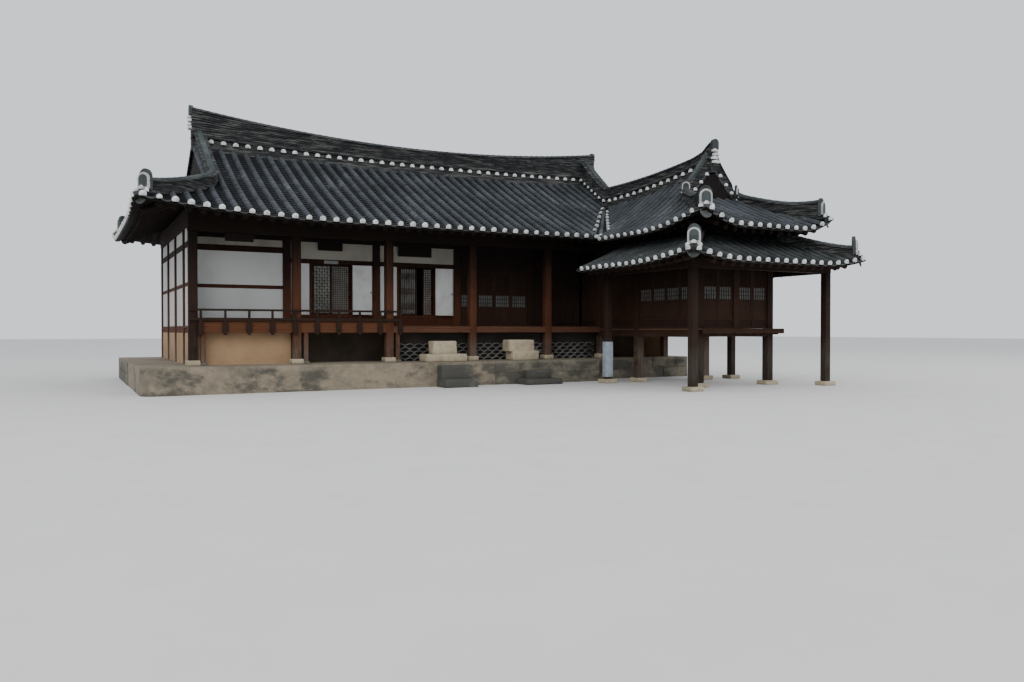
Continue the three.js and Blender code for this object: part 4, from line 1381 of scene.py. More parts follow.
        return [
            Deck("main_roof_bed", main_xs, main_ys, MAIN.top, MAIN.inner, keep_main, ("main_roof",)),
            Deck("upper_roof_bed", upper_xs, upper_ys, UPPER.top, UPPER.inner, keep_upper, ("upper_roof",)),
            Deck("lower_roof_bed", lower_xs, lower_ys, LOWER.top, LOWER.top, LOWER.outside, ("lower_roof",)),
        ]

    def corner_path(self, left: bool, rear: bool) -> RidgePath:
        """The verge ridge down the gable and on down the hip to the eave's corner.

        Args:
            left: Whether it is at the left end.
            rear: Whether it is at the rear.

        Returns:
            Its path.
        """
        way, inward = (-1 if rear else 1), (1 if left else -1)
        start = MAIN.ridge_y - way * MAIN.ridge_half
        foot = MAIN.rear - MAIN.gable if rear else MAIN.front + MAIN.gable
        eave_x, eave_y = (MAIN.left if left else MAIN.right), (MAIN.rear if rear else MAIN.front)
        verge = eave_x + inward * (MAIN.gable + self.verge_inset + self.verge / 2)
        return RidgePath(MAIN.top, [
            (verge, start, 0.16), (verge, foot + way * 0.3, 0.0),
            (verge - inward * 0.15, foot - way * 0.1, 0.0), (eave_x + inward * 0.2, eave_y + way * 0.2, 0.0),
        ], self.verge, 0.30)

    def main_ridge(self) -> list[tuple[Station, float]]:
        """The stations of the long wing's ridge, which rises towards its ends."""
        start, end = MAIN.left + MAIN.gable, MAIN.right - MAIN.gable
        made = []
        for x in spread(start - 0.06, end + 0.22, 64):
            foot = MAIN.top(min(max(x, start + 0.02), end - 0.02), MAIN.ridge_y)
            top = 7.0 + 0.44 * ((x - MAIN.middle_x) / (end - MAIN.middle_x)) ** 2
            made.append((Station(Vector((x, MAIN.ridge_y, foot)), Vector((0, 1, 0)), UP), top - foot))
        return made

    def ridges(self) -> list[tuple[str, RidgePath]]:
        """The other ridges, each with the CAD node that it stands for."""
        middle = UPPER.middle_x

        def joined(x: float, y: float) -> float:
            """The higher of the two roofs under the pavilion's ridge."""
            return max(UPPER.top(x, max(y, self.gable_y + 0.02)), MAIN.top(x, y))

        def upper_hip(way: int) -> RidgePath:
            """A verge and hip ridge of the pavilion's upper roof."""
            return RidgePath(UPPER.top, [
                (middle + way * 0.13, self.verge_y, 0.22), (middle + way * 0.86, self.verge_y, 0.06),
                (middle + way * 1.0, self.verge_y - 0.33, 0.0),
                (middle + way * 1.98, UPPER.front + 0.20, 0.19),
            ], self.verge, 0.27)

        def lower_hip(way: int) -> RidgePath:
            """A hip ridge of the pavilion's lower roof."""
            return RidgePath(LOWER.top, [
                (middle + way * 1.34, -4.51, 0.0), (middle + way * 2.71, LOWER.front + 0.17, 0.0),
            ], self.verge, 0.24)

        return [
            ("left_front_ridge", self.corner_path(True, False)),
            ("left_rear_ridge", self.corner_path(True, True)),
            ("right_rear_ridge", self.corner_path(False, True)),
            ("pavilion_ridge", RidgePath(joined, [
                (middle, self.gable_y - 0.06, 0.22), (middle, self.gable_y + 0.25, 0.05),
                (middle, self.gable_y + 0.75, 0.0), (middle, UPPER.meets_y, 0.10),
                (12.94, MAIN.ridge_y - MAIN.ridge_half, 0.30),
            ], 2 * UPPER.ridge_half, 0.56)),
            ("upper_left_hip_ridge", upper_hip(-1)),
            ("upper_right_hip_ridge", upper_hip(1)),
            ("lower_left_hip_ridge", lower_hip(-1)),
            ("lower_right_hip_ridge", lower_hip(1)),
        ]

    def valley(self) -> None:
        """Lays the gutter between the two roofs: pans with one row of covers down their middle."""
        def surface(x: float, y: float) -> float:
            """The higher of the two roofs."""
            return max(MAIN.top(x, y), UPPER.top(x, y))

        def crossing(y: float) -> Vector:
            """Where the two roofs meet, left of the pavilion's ridge."""
            low, high = UPPER.middle_x - UPPER.half, UPPER.middle_x
            for _ in range(24):
                middle = (low + high) / 2
                low, high = (low, middle) if UPPER.top(middle, y) > MAIN.top(middle, y) else (middle, high)
            return Vector((low, y))

        foot, top = crossing(MAIN.front + 0.10), crossing(1.25)
        climb = (top - foot).normalized()
        length = (top - foot).length
        slope = TiledSlope("valley", Face.FRONT, (0, 1), MAIN.front, length, surface, self.open_main)
        covers, pans, knobs = pieces(slope.name, "covers", "pans", "knobs")
        run = Run(foot - climb * 0.08, climb, length, surface)
        slope.lay_cover(covers, run)
        place = run.station(-0.042, -slope.bed).matrix()
        knobs.stamp(knob_shape(), place @ Matrix.Diagonal((0.038, 0.092, 0.086, 1)))
        for side in (-1, 1):
            aside = Vector((-climb.y, climb.x)) * side * 0.15
            slope.lay_pan(pans, Run(foot + aside, climb, length, surface))
        covers.dress(COVER_TILE)
        # Pans in the darker tile: painted shade between the covers
        pans.dress(SHADED_PAN_TILE)
        knobs.dress(LIME, smooth=60)

    def verge_ends(self, ends: EndPieces) -> None:
        """Adds what closes the verge ridges of the pavilion's gable, and the knobs under its edge."""
        for way in (-1, 1):
            x = UPPER.middle_x + way * 0.92
            spot = Vector((x, self.verge_y - 0.14, UPPER.top(x, self.verge_y) + 0.16))
            RidgeEnd(spot, Vector((way * 0.75, -1.0, 0)), 0.62).hip(ends)
            for k in range(4):
                x = UPPER.middle_x + way * (0.24 + 0.20 * k)
                spot = Vector((x, self.verge_y - self.verge / 2 - 0.06, UPPER.top(x, self.verge_y) - 0.02))
                ends.lay_knob(spot, (0.062, 0.040, 0.062))

    def build(self) -> None:
        """Makes every roof piece."""
        for part in (*self.decks(), *self.slopes()):
            part.build()
        self.valley()
        ends = EndPieces()
        main = self.main_ridge()
        StackedRidge("main_ridge", main, 2 * MAIN.ridge_half, ("main_ridge",), banded=True).build()
        for (station, height), way in ((main[0], -1), (main[-1], 1)):
            spot = station.point + Vector((way * 0.03, 0, height - 0.64))
            RidgeEnd(spot, Vector((way, 0, 0))).piled(ends, 0.40)
        end = main[-1][0]
        for k in range(4):
            for side in (-1, 1):
                shift = Vector((-0.10 - 0.03 * (k % 2), 0, 0))
                spot = end.at(side * MAIN.ridge_half, 0.16 + 0.11 * k) + shift
                ends.lay_knob(spot, (0.11, 0.07, 0.075))
        for name, path in self.ridges():
            stations = path.stations()
            high = name == "pavilion_ridge"
            StackedRidge(name, stations, path.width, (name,), banded=high).build()
            if high:
                first, height = stations[0]
                spot = first.point + Vector((0, -0.03, height - 0.66))
                RidgeEnd(spot, Vector((0, -1, 0))).piled(ends, 0.40)
                continue
            last, before = stations[-1][0].point, stations[-2][0].point
            way = Vector((last.x - before.x, last.y - before.y, 0))
            RidgeEnd(last + way.normalized() * 0.03, way, 0.88).hip(ends)
        self.verge_ends(ends)
        ends.dress()


@dataclass
class Rafters:
    """Round rafters under one slope, from just inside the eave to over the wall."""

    slope: TiledSlope
    step: float = 0.30
    reach: float = 2.45
    radius: float = 0.068
    inset: float = 0.10
    hang: float = 0.235

    def build(self) -> None:
        """Makes the rafters, each bent once."""
        piece = Piece(f"{self.slope.name}_rafters")
        low, high = self.slope.span
        lines = spread(low + 0.2, high - 0.2, round((high - low - 0.4) / self.step))
        for run in self.slope.runs(lines, min(self.reach, self.slope.reach)):
            if run.length < 0.5:
                continue
            marks = (self.inset, run.length / 2, run.length)
            ends = [run.station(along, -self.hang).point for along in marks]
            for start, end in zip(ends, ends[1:]):
                piece.rod(start, end, self.radius)
        along = Along.X if self.slope.face in (Face.LEFT, Face.RIGHT) else Along.Y
        piece.dress(replace(RAFTERS, name=f"rafter_timber_{along.name.lower()}", along=along))


@dataclass
class Infill:
    """A strip of wall between a beam and the roof's bed."""

    start: Spot
    end: Spot
    low: float
    height: Height
    depth: float = 0.06

    def build(self, piece: Piece) -> None:
        """Adds the strip, stepped along the bed."""
        start, end = Vector(self.start), Vector(self.end)
        count = max(1, round((end - start).length / 0.4))
        half = self.depth / 2
        side = Vector((half, 0)) if abs(start.x - end.x) < 0.01 else Vector((0, half))
        for k in range(count):
            spots = (start.lerp(end, k / count), start.lerp(end, (k + 1) / count))
            top = min(self.height(*spot) for spot in spots) - 0.16
            if top > self.low + 0.02:
                low, high = spots[0] - side, spots[1] + side
                piece.box((low.x, high.x), (low.y, high.y), (self.low, top))


class Lattice(Enum):
    """How a leaf is filled."""

    PATTERN = "staggered squares"
    BARS = "upright bars with three bands"
    FINE = "a fine grid"
    # Its boards behind the upper grid are dark timber standing for paper in shade: painted shade
    HALL = "a panel below, a papered band, and a grid on boards above"
    BOARDED = "boards"


@dataclass(frozen=True)
class Leaf:
    """One door leaf. Its own axes: X along its width, Y from its outer to its inner face, Z up."""

    width: float
    low: float
    high: float
    lattice: Lattice
    stile: float = 0.050
    thick: float = 0.040
    bar: float = 0.013
    upright: Span = (0.008, 0.024)
    level: Span = (0.006, 0.022)

    def build(self, timber: Piece, paper: Piece, place: Matrix) -> None:
        """Adds the leaf.

        Args:
            timber: The piece of its frame and bars.
            paper: The piece of its paper.
            place: Where it hangs.
        """
        outer, inner = (0.0, self.thick), (self.thick - 0.0035, self.thick + 0.0015)
        for xs in ((0, self.stile), (self.width - self.stile, self.width)):
            timber.box(xs, outer, (self.low, self.high), place)
        inside = (self.stile, self.width - self.stile)
        low, high = self.low + self.stile, self.high - self.stile
        for zs in ((self.low, low), (high, self.high)):
            timber.box(inside, outer, zs, place)
        if self.lattice is Lattice.BOARDED:
            cuts = spread(*inside, 3)
            for start, end in zip(cuts, cuts[1:]):
                timber.box((start + 0.002, end - 0.002), (0.010, 0.028), (low, high), place)
            timber.box(inside, (0.002, 0.014), around((low + high) / 2, 0.03), place)
            return
        if self.lattice is Lattice.HALL:
            rail = 0.6 * self.stile
            panel, light = low + 0.30 * (high - low), low + 0.56 * (high - low)
            timber.box(inside, (0.012, 0.026), (low, panel), place)
            for z in (panel, light):
                timber.box(inside, outer, (z, z + rail), place)
            paper.box(inside, (0.022, 0.026), (panel + rail, light), place)
            self.grid(timber, place, inside, (panel + rail, light), 0.075, 0.10)
            # Dark board behind the upper grid, in place of paper: painted shade
            timber.box(inside, (0.024, 0.028), (light + rail, high), place)
            self.grid(timber, place, inside, (light + rail, high), 0.065, 0.075)
            return
        paper.box((0.004, self.width - 0.004), inner, (self.low + 0.004, self.high - 0.004), place)
        if self.lattice is Lattice.FINE:
            self.grid(timber, place, inside, (low, high), 0.050, 0.050)
        elif self.lattice is Lattice.BARS:
            self.grid(timber, place, inside, (low, high), 0.050, high - low)
            for share in (0.16, 0.5, 0.84):
                for k in (-1.5, -0.5, 0.5, 1.5):
                    z = low + share * (high - low) + k * 0.045
                    timber.box(inside, self.level, around(z, self.bar / 2), place)
        else:
            self.staggered(timber, place, inside, (low, high))

    def grid(self, timber: Piece, place: Matrix, xs: Span, zs: Span, across: float, up: float) -> None:
        """Adds thin bars both ways.

        Args:
            timber: The piece that takes them.
            place: Where the leaf hangs.
            xs: Where the grid starts and ends along the width.
            zs: Where it starts and ends in height.
            across: How far apart the upright bars are.
            up: How far apart the level bars are.
        """
        half = self.bar / 2
        for x in spread(*xs, max(2, round((xs[1] - xs[0]) / across)))[1:-1]:
            timber.box(around(x, half), self.upright, zs, place)
        for z in spread(*zs, max(1, round((zs[1] - zs[0]) / up)))[1:-1]:
            timber.box(xs, self.level, around(z, half), place)

    def staggered(self, timber: Piece, place: Matrix, xs: Span, zs: Span) -> None:
        """Adds nested squares and staggered bars.

        Args:
            timber: The piece that takes them.
            place: Where the leaf hangs.
            xs: Where the pattern starts and ends along the width.
            zs: Where it starts and ends in height.
        """
        half = self.bar / 2
        columns, rows = 6, 16
        wide, tall = (xs[1] - xs[0]) / columns, (zs[1] - zs[0]) / rows
        for k in range(1, columns):
            for r in range(rows // 2):
                start = zs[0] + (2 * r + k % 2) * tall
                span = (start, min(start + 1.5 * tall, zs[1]))
                timber.box(around(xs[0] + k * wide, half), self.upright, span, place)
        for r in range(1, rows):
            for k in range(0, columns, 2):
                start = xs[0] + (k + (r % 2) * 0.5) * wide
                span = (start, min(start + 1.5 * wide, xs[1]))
                timber.box(span, self.level, around(zs[0] + r * tall, half), place)


@dataclass
class HungLeaf:
    """A leaf that swings on two pins, dressed as it hangs at rest."""

    name: str
    leaf: Leaf
    hinge_x: float
    hung_left: bool
    degrees: float
    offset: float = 0.008

    def place(self) -> Matrix:
        """The matrix from the leaf's own axes to the plan."""
        way = 1 if self.hung_left else -1
        turn = Matrix.Rotation(math.radians(-way * self.degrees), 4, "Z")
        hung = Matrix.Translation((self.hinge_x, HINGE_Y, 0)) @ turn
        return hung @ Matrix.Diagonal((way, 1, 1, 1)) @ Matrix.Translation((self.offset, self.offset, 0))

    def build(self) -> None:
        """Makes the leaf's timber, paper and iron, which ride on its own body."""
        body = f"{self.name}_leaf"
        node = self.name.replace("left", "door_left").replace("right", "door_right")
        timber, paper, iron = pieces(node, "timber", "paper", "iron")
        place = self.place()
        self.leaf.build(timber, paper, place)
        for z in HINGE_HEIGHTS:
            knuckle = place @ Matrix.Translation((-self.offset, -self.offset, z + 0.025))
            iron.cylinder(0.011, 0.049, 12, knuckle)
            iron.box((0, 0.052), (-0.0025, 0.0), (z + 0.001, z + 0.049), place)
        x, z = self.leaf.width - 0.5 * self.leaf.stile, (self.leaf.low + self.leaf.high) / 2 - 0.05
        thick = self.leaf.thick
        iron.box(around(x, 0.015), (thick, thick + 0.002), around(z, 0.015), place)
        iron.stamp(ring_shape(), place @ Matrix.Translation((x, thick + 0.005, z - 0.024)))
        timber.dress(LEAF_TIMBER, (node,), body, smooth=None, close=True)
        # A closed leaf's paper is dressed darker than an open one's: painted shade
        paper.dress(SHADOWED_PAPER if self.degrees == 0 else PAPER, (node,), body, smooth=None, close=True)
        iron.dress(IRON, (), body, close=True)


@dataclass
class Doors:
    """The two leaves of each doorway: at rest the left one is closed and the right one open."""

    open: float = 175
    low: float = 1.856
    high: float = 3.174

    def build(self) -> None:
        """Hangs the four leaves."""
        for bay, (left, right), lattice in zip(("bay_2", "bay_3"), DOORWAYS, (Lattice.PATTERN, Lattice.BARS)):
            leaf = Leaf((right - left) / 2 - 0.009, self.low, self.high, lattice)
            HungLeaf(f"{bay}_left", leaf, left - 0.002, True, 0).build()
            HungLeaf(f"{bay}_right", leaf, right + 0.002, False, self.open).build()


@cache
def ring_shape() -> bpy.types.Mesh:
    """A small ring around the Y axis."""
    piece = Piece("ring_shape")
    made = bmesh.ops.create_circle(
        piece.mesh, segments=6, radius=0.003, matrix=Matrix.Translation((0.022, 0, 0)),
    )
    edges = list({edge for vert in made["verts"] for edge in vert.link_edges})
    bmesh.ops.spin(
        piece.mesh, geom=[*made["verts"], *edges], cent=(0, 0, 0), axis=(0, 1, 0), angle=2 * math.pi,
        steps=16, use_merge=True,
    )
    return piece.mould()


@dataclass
class WallParts:
    """The pieces that one wall is made of."""

    name: str
    nodes: tuple[str, ...]

    def __post_init__(self) -> None:
        """Starts the pieces."""
        # The fourth piece is plaster dressed darker, as painted shade under the eaves
        self.timber, self.dark, self.plaster, self.aged, self.paper = pieces(
            self.name, "timber", "boards", "plaster", "aged_plaster", "paper",
        )

    def hang(self, leaf: Leaf, count: int, long: float, place: Matrix) -> None:
        """Hangs leaves side by side.

        Args:
            leaf: The leaf.
            count: How many there are.
            long: How long their row is, with the gaps between them.
            place: The matrix of the row's start.
        """
        step = long / count
        for k in range(count):
            start = k * step + (step - leaf.width) / 2
            leaf.build(self.timber, self.paper, place @ Matrix.Translation((start, 0, 0)))

    def dress(self, timber: Finish, dark: Finish = DARK_BOARDS, paper: Finish = SHADE_PAPER) -> None:
        """Ends the pieces that hold something.

        Args:
            timber: The frame's finish.
            dark: The boards' finish.
            paper: The paper's finish.
        """
        self.timber.soften(0.006)
        for piece, finish in (
            (self.timber, timber), (self.dark, dark), (self.plaster, PLASTER), (self.aged, SHADED_PLASTER),
            (self.paper, paper),
        ):
            if piece.mesh.verts:
                piece.dress(finish, self.nodes, smooth=None)


@dataclass
class FrontWall:
    """The inner wall behind the verandah: its frame, plaster, fixed leaves and doorway linings."""

    sill: float = 1.85
    head: float = 3.18
    lintel: float = 0.12
    jamb: float = 0.065
    rail: Span = around(WALL_LINE, 0.064)
    panel: Span = around(WALL_LINE, 0.050)
    post: Span = around(WALL_LINE, POST_HALF)
    posts: tuple[float, ...] = (2.4, 4.8, 7.2, 9.6)
    screens: tuple[Span, ...] = ((3.58, 4.11), (6.22, 6.50))
    nodes: tuple[str, ...] = ("inner_wall_left", "inner_wall_middle", "inner_wall_right")

    def build(self) -> None:
        """Makes the wall, bay by bay."""
        plain = WallParts("bay_1_wall", self.nodes[:1])
        self.plain_bay(plain)
        plain.dress(POSTS)
        middle = WallParts("door_bays", self.nodes)
        for start, doorway, screen in zip(self.posts, DOORWAYS, self.screens):
            self.door_bay(middle, start, doorway, screen)
        # The fixed inner screens take the darker paper: painted shade
        middle.dress(POSTS, RED_BOARDS, SHADOWED_PAPER)
        hall = WallParts("hall_leaves", ("bay_4_doors",))
        self.leaf_bay(hall, (7.3, 9.5), Lattice.HALL, 0.055)
        hall.dress(LEAF_TIMBER, RED_BOARDS)
        boards = WallParts("bay_5_leaves", ("bay_5_doors",))
        boards.timber.box((9.5, 9.7), self.post, (FLOOR_TOP, self.head))
        self.leaf_bay(boards, (9.7, WALL_END), Lattice.BOARDED, 0.05)
        boards.dress(DARK_BOARDS)
        self.head_wall()
        self.irons()

    def plain_bay(self, parts: WallParts) -> None:
        """Adds bay 1: plaster between dark rails."""
        run, foot = (0.09, BAY - POST_HALF), 1.68
        for rail in ((FLOOR_TOP, foot), MIDDLE_RAIL, UPPER_RAIL):
            parts.timber.box(run, self.rail, rail)
        for panel in ((foot, MIDDLE_RAIL[0]), (MIDDLE_RAIL[1], UPPER_RAIL[0])):
            parts.plaster.box(run, self.panel, panel)
        # The top panel, under the eave, takes the darker plaster: painted shade
        parts.aged.box(run, self.panel, (UPPER_RAIL[1], PLATE_UNDER))
        parts.timber.box(around(BAY, POST_HALF), self.post, (FLOOR_TOP, self.head))
        parts.timber.box((0.09, 0.20), self.rail, (foot, PLATE_UNDER))

    def door_bay(self, parts: WallParts, start: float, doorway: Span, screen: Span) -> None:
        """Adds a bay with a doorway: red board panels below, plaster beside and above.

        Args:
            parts: The wall's pieces.
            start: The post at its left.
            doorway: Where the doorway starts and ends.
            screen: Where the fixed inner screen starts and ends.
        """
        left, right = doorway[0] - self.jamb, doorway[1] + self.jamb
        run = (start + POST_HALF, start + BAY - POST_HALF)
        foot = (FLOOR_TOP + 0.05, self.sill - 0.055)
        for rail in ((FLOOR_TOP, foot[0]), (foot[1], self.sill)):
            parts.timber.box(run, self.rail, rail)
        cuts = spread(*run, 5)
        for low, high in zip(cuts, cuts[1:]):
            parts.dark.box((low + 0.02, high - 0.02), self.panel, foot)
            parts.timber.box(around(high, 0.02), self.rail, foot)
        parts.timber.box(run, self.rail, (self.head, self.head + self.lintel))
        for jamb in ((left, doorway[0]), (doorway[1], right)):
            parts.timber.box(jamb, self.rail, (self.sill, self.head))
        for xs in ((run[0], left), (right, run[1])):
            parts.plaster.box(xs, self.panel, (self.sill, self.head))
        parts.timber.box(around(start + BAY, POST_HALF), self.post, (FLOOR_TOP, self.head))
        inner = Leaf(screen[1] - screen[0], self.sill + 0.004, self.head - 0.004, Lattice.FINE, 0.035, 0.026)
        inner.build(parts.timber, parts.paper, Matrix.Translation((screen[0], WALL_LINE + 0.09, 0)))

    def leaf_bay(self, parts: WallParts, run: Span, lattice: Lattice, stile: float) -> None:
        """Adds a bay of four leaves between a foot rail and a head rail.

        Args:
            parts: The wall's pieces.
            run: Where the bay starts and ends.
            lattice: How its leaves are filled.
            stile: How wide their frames are.
        """
        for rail in ((FLOOR_TOP, FLOOR_TOP + 0.07), (self.head - 0.06, self.head)):
            parts.timber.box(run, self.rail, rail)
        long = run[1] - run[0]
        leaf = Leaf(long / 4 - 0.006, FLOOR_TOP + 0.072, self.head - 0.062, lattice, stile)
        parts.hang(leaf, 4, long, Matrix.Translation((run[0], 1.00, 0)))

    def head_wall(self) -> None:
        """Makes the plaster over the doorways, the upper ends of the posts and the plate."""
        parts = WallParts("inner_wall_head", ("inner_wall_head",))
        for start, end in zip(self.posts, (*self.posts[1:], WALL_END)):
            doorway = start in self.posts[:2]
            # Over the doorways the plaster is the darker one, painting the shade under the eave
            filling, low = (parts.aged, self.head + self.lintel) if doorway else (parts.dark, self.head)
            filling.box((start + 0.05, end - 0.05), self.panel, (low, PLATE_UNDER))
        for x in self.posts:
            parts.timber.box(around(x, POST_HALF), self.post, (self.head, PLATE_UNDER))
        parts.timber.box((0.11, WALL_END), self.post, (PLATE_UNDER, PLATE_TOP))
        for x in (7.34, 9.46):
            parts.timber.box(around(x, 0.04), self.rail, (self.head, PLATE_UNDER))
        parts.timber.box((7.3, WALL_END), self.rail, (3.42, 3.50))
        parts.dress(DARK_POSTS)

    def irons(self) -> None:
        """Makes the pins and arms that the leaves hang on."""
        irons = Piece("hinge_irons")
        for left, right in DOORWAYS:
            for x, way in ((left - 0.002, 1), (right + 0.002, -1)):
                for z in HINGE_HEIGHTS:
                    irons.cylinder(0.005, 0.062, 12, Matrix.Translation((x, HINGE_Y, z + 0.019)))
                    irons.box((x, x - way * 0.012), (0.960, 0.998), (z - 0.012, z))
        irons.dress(IRON, self.nodes)


@dataclass
class OuterWall:
    """A wall at an end or at the back: posts, rails and plaster over a clay foot."""

    name: str
    along_x: bool
    line: float
    run: Span
    posts: tuple[float, ...]
    post: float = 0.18
    plate_under: float = 3.88

    def lay(self, piece: Piece, run: Span, depth: float, height: Span) -> None:
        """Adds a box that lies along the wall.

        Args:
            piece: The piece that takes it.
            run: Where it starts and ends along the wall.
            depth: How deep it is.
            height: Where it starts and ends in height.
        """
        across = around(self.line, depth / 2)
        piece.box(*((run, across) if self.along_x else (across, run)), height)

    def build(self) -> None:
        """Makes the wall."""
        parts = WallParts(self.name, (self.name,))
        clay = Piece(f"{self.name}_foot")
        rails = (CLAY_RAIL, MIDDLE_RAIL, UPPER_RAIL)
        self.lay(clay, self.run, 0.12, (PLATFORM_TOP, CLAY_RAIL[0]))
        for rail in rails:
            self.lay(parts.timber, self.run, 0.13, rail)
        for rail, above in zip(rails, (MIDDLE_RAIL[0], UPPER_RAIL[0], self.plate_under)):
            self.lay(parts.plaster, self.run, 0.10, (rail[1], above))
        for at in self.posts:
            self.lay(parts.timber, around(at, self.post / 2), self.post, (PLATFORM_TOP, self.plate_under))
        self.lay(parts.timber, self.run, 0.22, (self.plate_under, PLATE_TOP))
        parts.dress(POSTS)
        clay.dress(CLAY, (self.name,), smooth=None)


@dataclass
class StandingPost:
    """A squared post with worn edges on its own base stone."""

    name: str
    x: float
    y: float
    size: float
    stone: float
    foot: float
    stone_top: float
    top: float

    def build(self) -> None:
        """Makes the post and the stone."""
        half = self.size / 2
        post, stone = pieces(self.name, "post", "stone")
        post.box(around(self.x, half), around(self.y, half), (self.stone_top, self.top))
        post.soften(0.014, 2)
        shaded = self.name == "front_post_1" or not self.name.startswith("front")
        post.dress(SHADE_POSTS if shaded else POSTS, (self.name,))
        lay_stone(stone, (self.x, self.y), (self.stone, self.stone), (self.foot, self.stone_top), 0.022)
        stone.dress(PALE_STONE, (self.name,))


@dataclass
class Sheath:
    """A pale sheath around the foot of one outer post."""

    half: float = 0.105
    span: Span = (0.17, 1.13)

    def build(self) -> None:
        """Makes the sheath."""
        piece = Piece("post_sheath")
        piece.box(around(OUTER_LEFT, self.half), around(BODY_MIDDLE, self.half), self.span)
        piece.soften(0.012, 2)
        piece.dress(SHEATH)


def lay_stone(piece: Piece, centre: Spot, size: Spot, zs: Span, edge: float) -> None:
    """Adds a hewn stone with worn edges and uneven faces.

    Args:
        piece: The piece that takes it.
        centre: Its middle in plan.
        size: Its width and depth.
        zs: Where it starts and ends in height.
        edge: How far its edges are worn.
    """
    block = Piece("stone_block")
    block.box(around(0, size[0] / 2), around(0, size[1] / 2), zs)
    block.soften(edge, 2)
    bmesh.ops.subdivide_edges(
        block.mesh, edges=[side for side in block.mesh.edges if side.calc_length() > 0.1], cuts=3,
        use_grid_fill=True,
    )
    for vert in block.mesh.verts:
        spot = Vector((vert.co.x + centre[0], vert.co.y + centre[1], vert.co.z))
        shift = noise.noise_vector(spot * 3.0) * edge * 0.9
        shift.z *= 0.25 if vert.co.z > zs[0] + 0.01 else 0.0
        vert.co += shift
    piece.stamp(block.shape(), Matrix.Translation((*centre, 0)))


@dataclass
class StoneFacing:
    """Cut stones in two courses along a face of the platform, to the right of the way from start to end."""

    start: Spot
    end: Spot
    courses: tuple[Span, ...] = ((0.0, 0.30), (0.31, 0.615))
    long: float = 0.80
    depth: float = 0.10
    proud: float = 0.018

    def build(self, piece: Piece) -> None:
        """Adds the stones."""
        start, end = Vector((*self.start, 0)), Vector((*self.end, 0))
        way = (end - start).normalized()
        place = axes_at(start, way, Vector((-way.y, way.x, 0)))
        total = (end - start).length
        for row, course in enumerate(self.courses):
            at, number = 0.0, 0
            while at < total - 0.01:
                length = self.long * (1.0 + 0.42 * wobble(self.start[0] + number, row + 3.0, self.start[1]))
                length = total - at if total - at < 1.35 * length else length
                proud = self.proud + 0.008 * wobble(number, row)
                piece.box((at + 0.006, at + length - 0.006), (-proud, self.depth), course, place)
                at += length
                number += 1


@dataclass
class Platform:
    """The dressing of the stone platform: facing stones at its right end, sides and back, and its steps."""

    corners: tuple[Spot, ...] = (
        (7.4, -1.0), (10.73, -1.0), (10.73, -0.25), (14.6, -0.25), (14.6, 7.15), (-1.19, 7.15), (-1.19, 3.2),
    )

    def build(self) -> None:
        """Makes the facing stones and the steps, each step two stones with a middle, a size and a height."""
        facing = Piece("platform_stones")
        for start, end in zip(self.corners, self.corners[1:]):
            StoneFacing(start, end).build(facing)
        facing.soften(0.012, 2)
        facing.dress(CUT_STONE)
        for node, finish, rounding, stones in (
            ("front_steps_left", DARK_STONE, 0.035,
             (((6.16, -1.31), (0.92, 0.62), (0, 0.21)), ((6.16, -1.16), (0.88, 0.32), (0.19, 0.55)))),
            ("front_steps_right", DARK_STONE, 0.035,
             (((8.58, -1.31), (1.12, 0.62), (0, 0.15)), ((8.59, -1.16), (0.74, 0.32), (0.13, 0.37)))),
            ("stepping_stones_left", PALE_STONE, 0.03,
             (((6.15, -0.41), (1.15, 0.56), (0.62, 0.82)), ((6.19, -0.31), (0.70, 0.36), (0.80, 1.16)))),
            ("stepping_stones_right", PALE_STONE, 0.03,
             (((8.56, -0.38), (0.80, 0.50), (0.62, 0.88)), ((8.45, -0.36), (0.78, 0.46), (0.86, 1.18)))),
        ):
            steps = Piece(node)
            for spot, size, span in stones:
                lay_stone(steps, spot, size, span, rounding)
            steps.dress(finish, (node,))


@dataclass
class Verandah:
    """The narrow floor along the front: boards, edge boards, joists and legs."""

    front: float = -0.10
    back: float = 0.99
    edge: float = 0.05
    boards: int = 44
    joists: int = 19
    legs: tuple[float, ...] = (0.22, 2.62, 5.02)
    node: tuple[str, ...] = ("verandah_floor",)

    def build(self) -> None:
        """Makes the floor."""
        floor, bright, dull, legs, pads = pieces(
            "verandah", "boards", "edge_bright", "edge_dull", "legs", "pads",
        )
        inside = (self.front + self.edge, self.back)
        cuts = spread(self.front, WALL_END, self.boards)
        for start, end in zip(cuts, cuts[1:]):
            floor.box((start + 0.002, end - 0.002), inside, (1.505, FLOOR_TOP))
        floor.soften(0.004)
        floor.dress(FLOOR_BOARDS, self.node, smooth=None)
        edge = (self.front, inside[0])
        for start in (0.1, 2.5):
            bright.box((start, start + 2.2), edge, (FLOOR_UNDER, 1.64))
        bright.soften(0.006)
        bright.dress(EDGE_BOARDS, self.node, smooth=None)
        for run in ((4.9, 7.1), (7.3, 9.5), (9.7, WALL_END)):
            dull.box(run, edge, (FLOOR_UNDER, 1.535))
        for k in range(self.joists):
            dull.box(around(0.25 + k * 0.61, 0.04), inside, (FLOOR_UNDER + 0.01, 1.50))
        dull.box((self.front, WALL_END), (self.back - 0.10, self.back), (FLOOR_UNDER, 1.50))
        dull.soften(0.006)
        dull.dress(DULL_EDGE, self.node, smooth=None)
        for x in self.legs:
            legs.box(around(x, 0.055), (-0.09, 0.02), (0.66, FLOOR_UNDER + 0.01))
        legs.soften(0.010, 2)
        legs.dress(POSTS, self.node)
        for x in self.legs:
            lay_stone(pads, (x, -0.035), (0.17, 0.17), (PLATFORM_TOP, 0.675), 0.012)
        pads.dress(CUT_STONE, self.node)


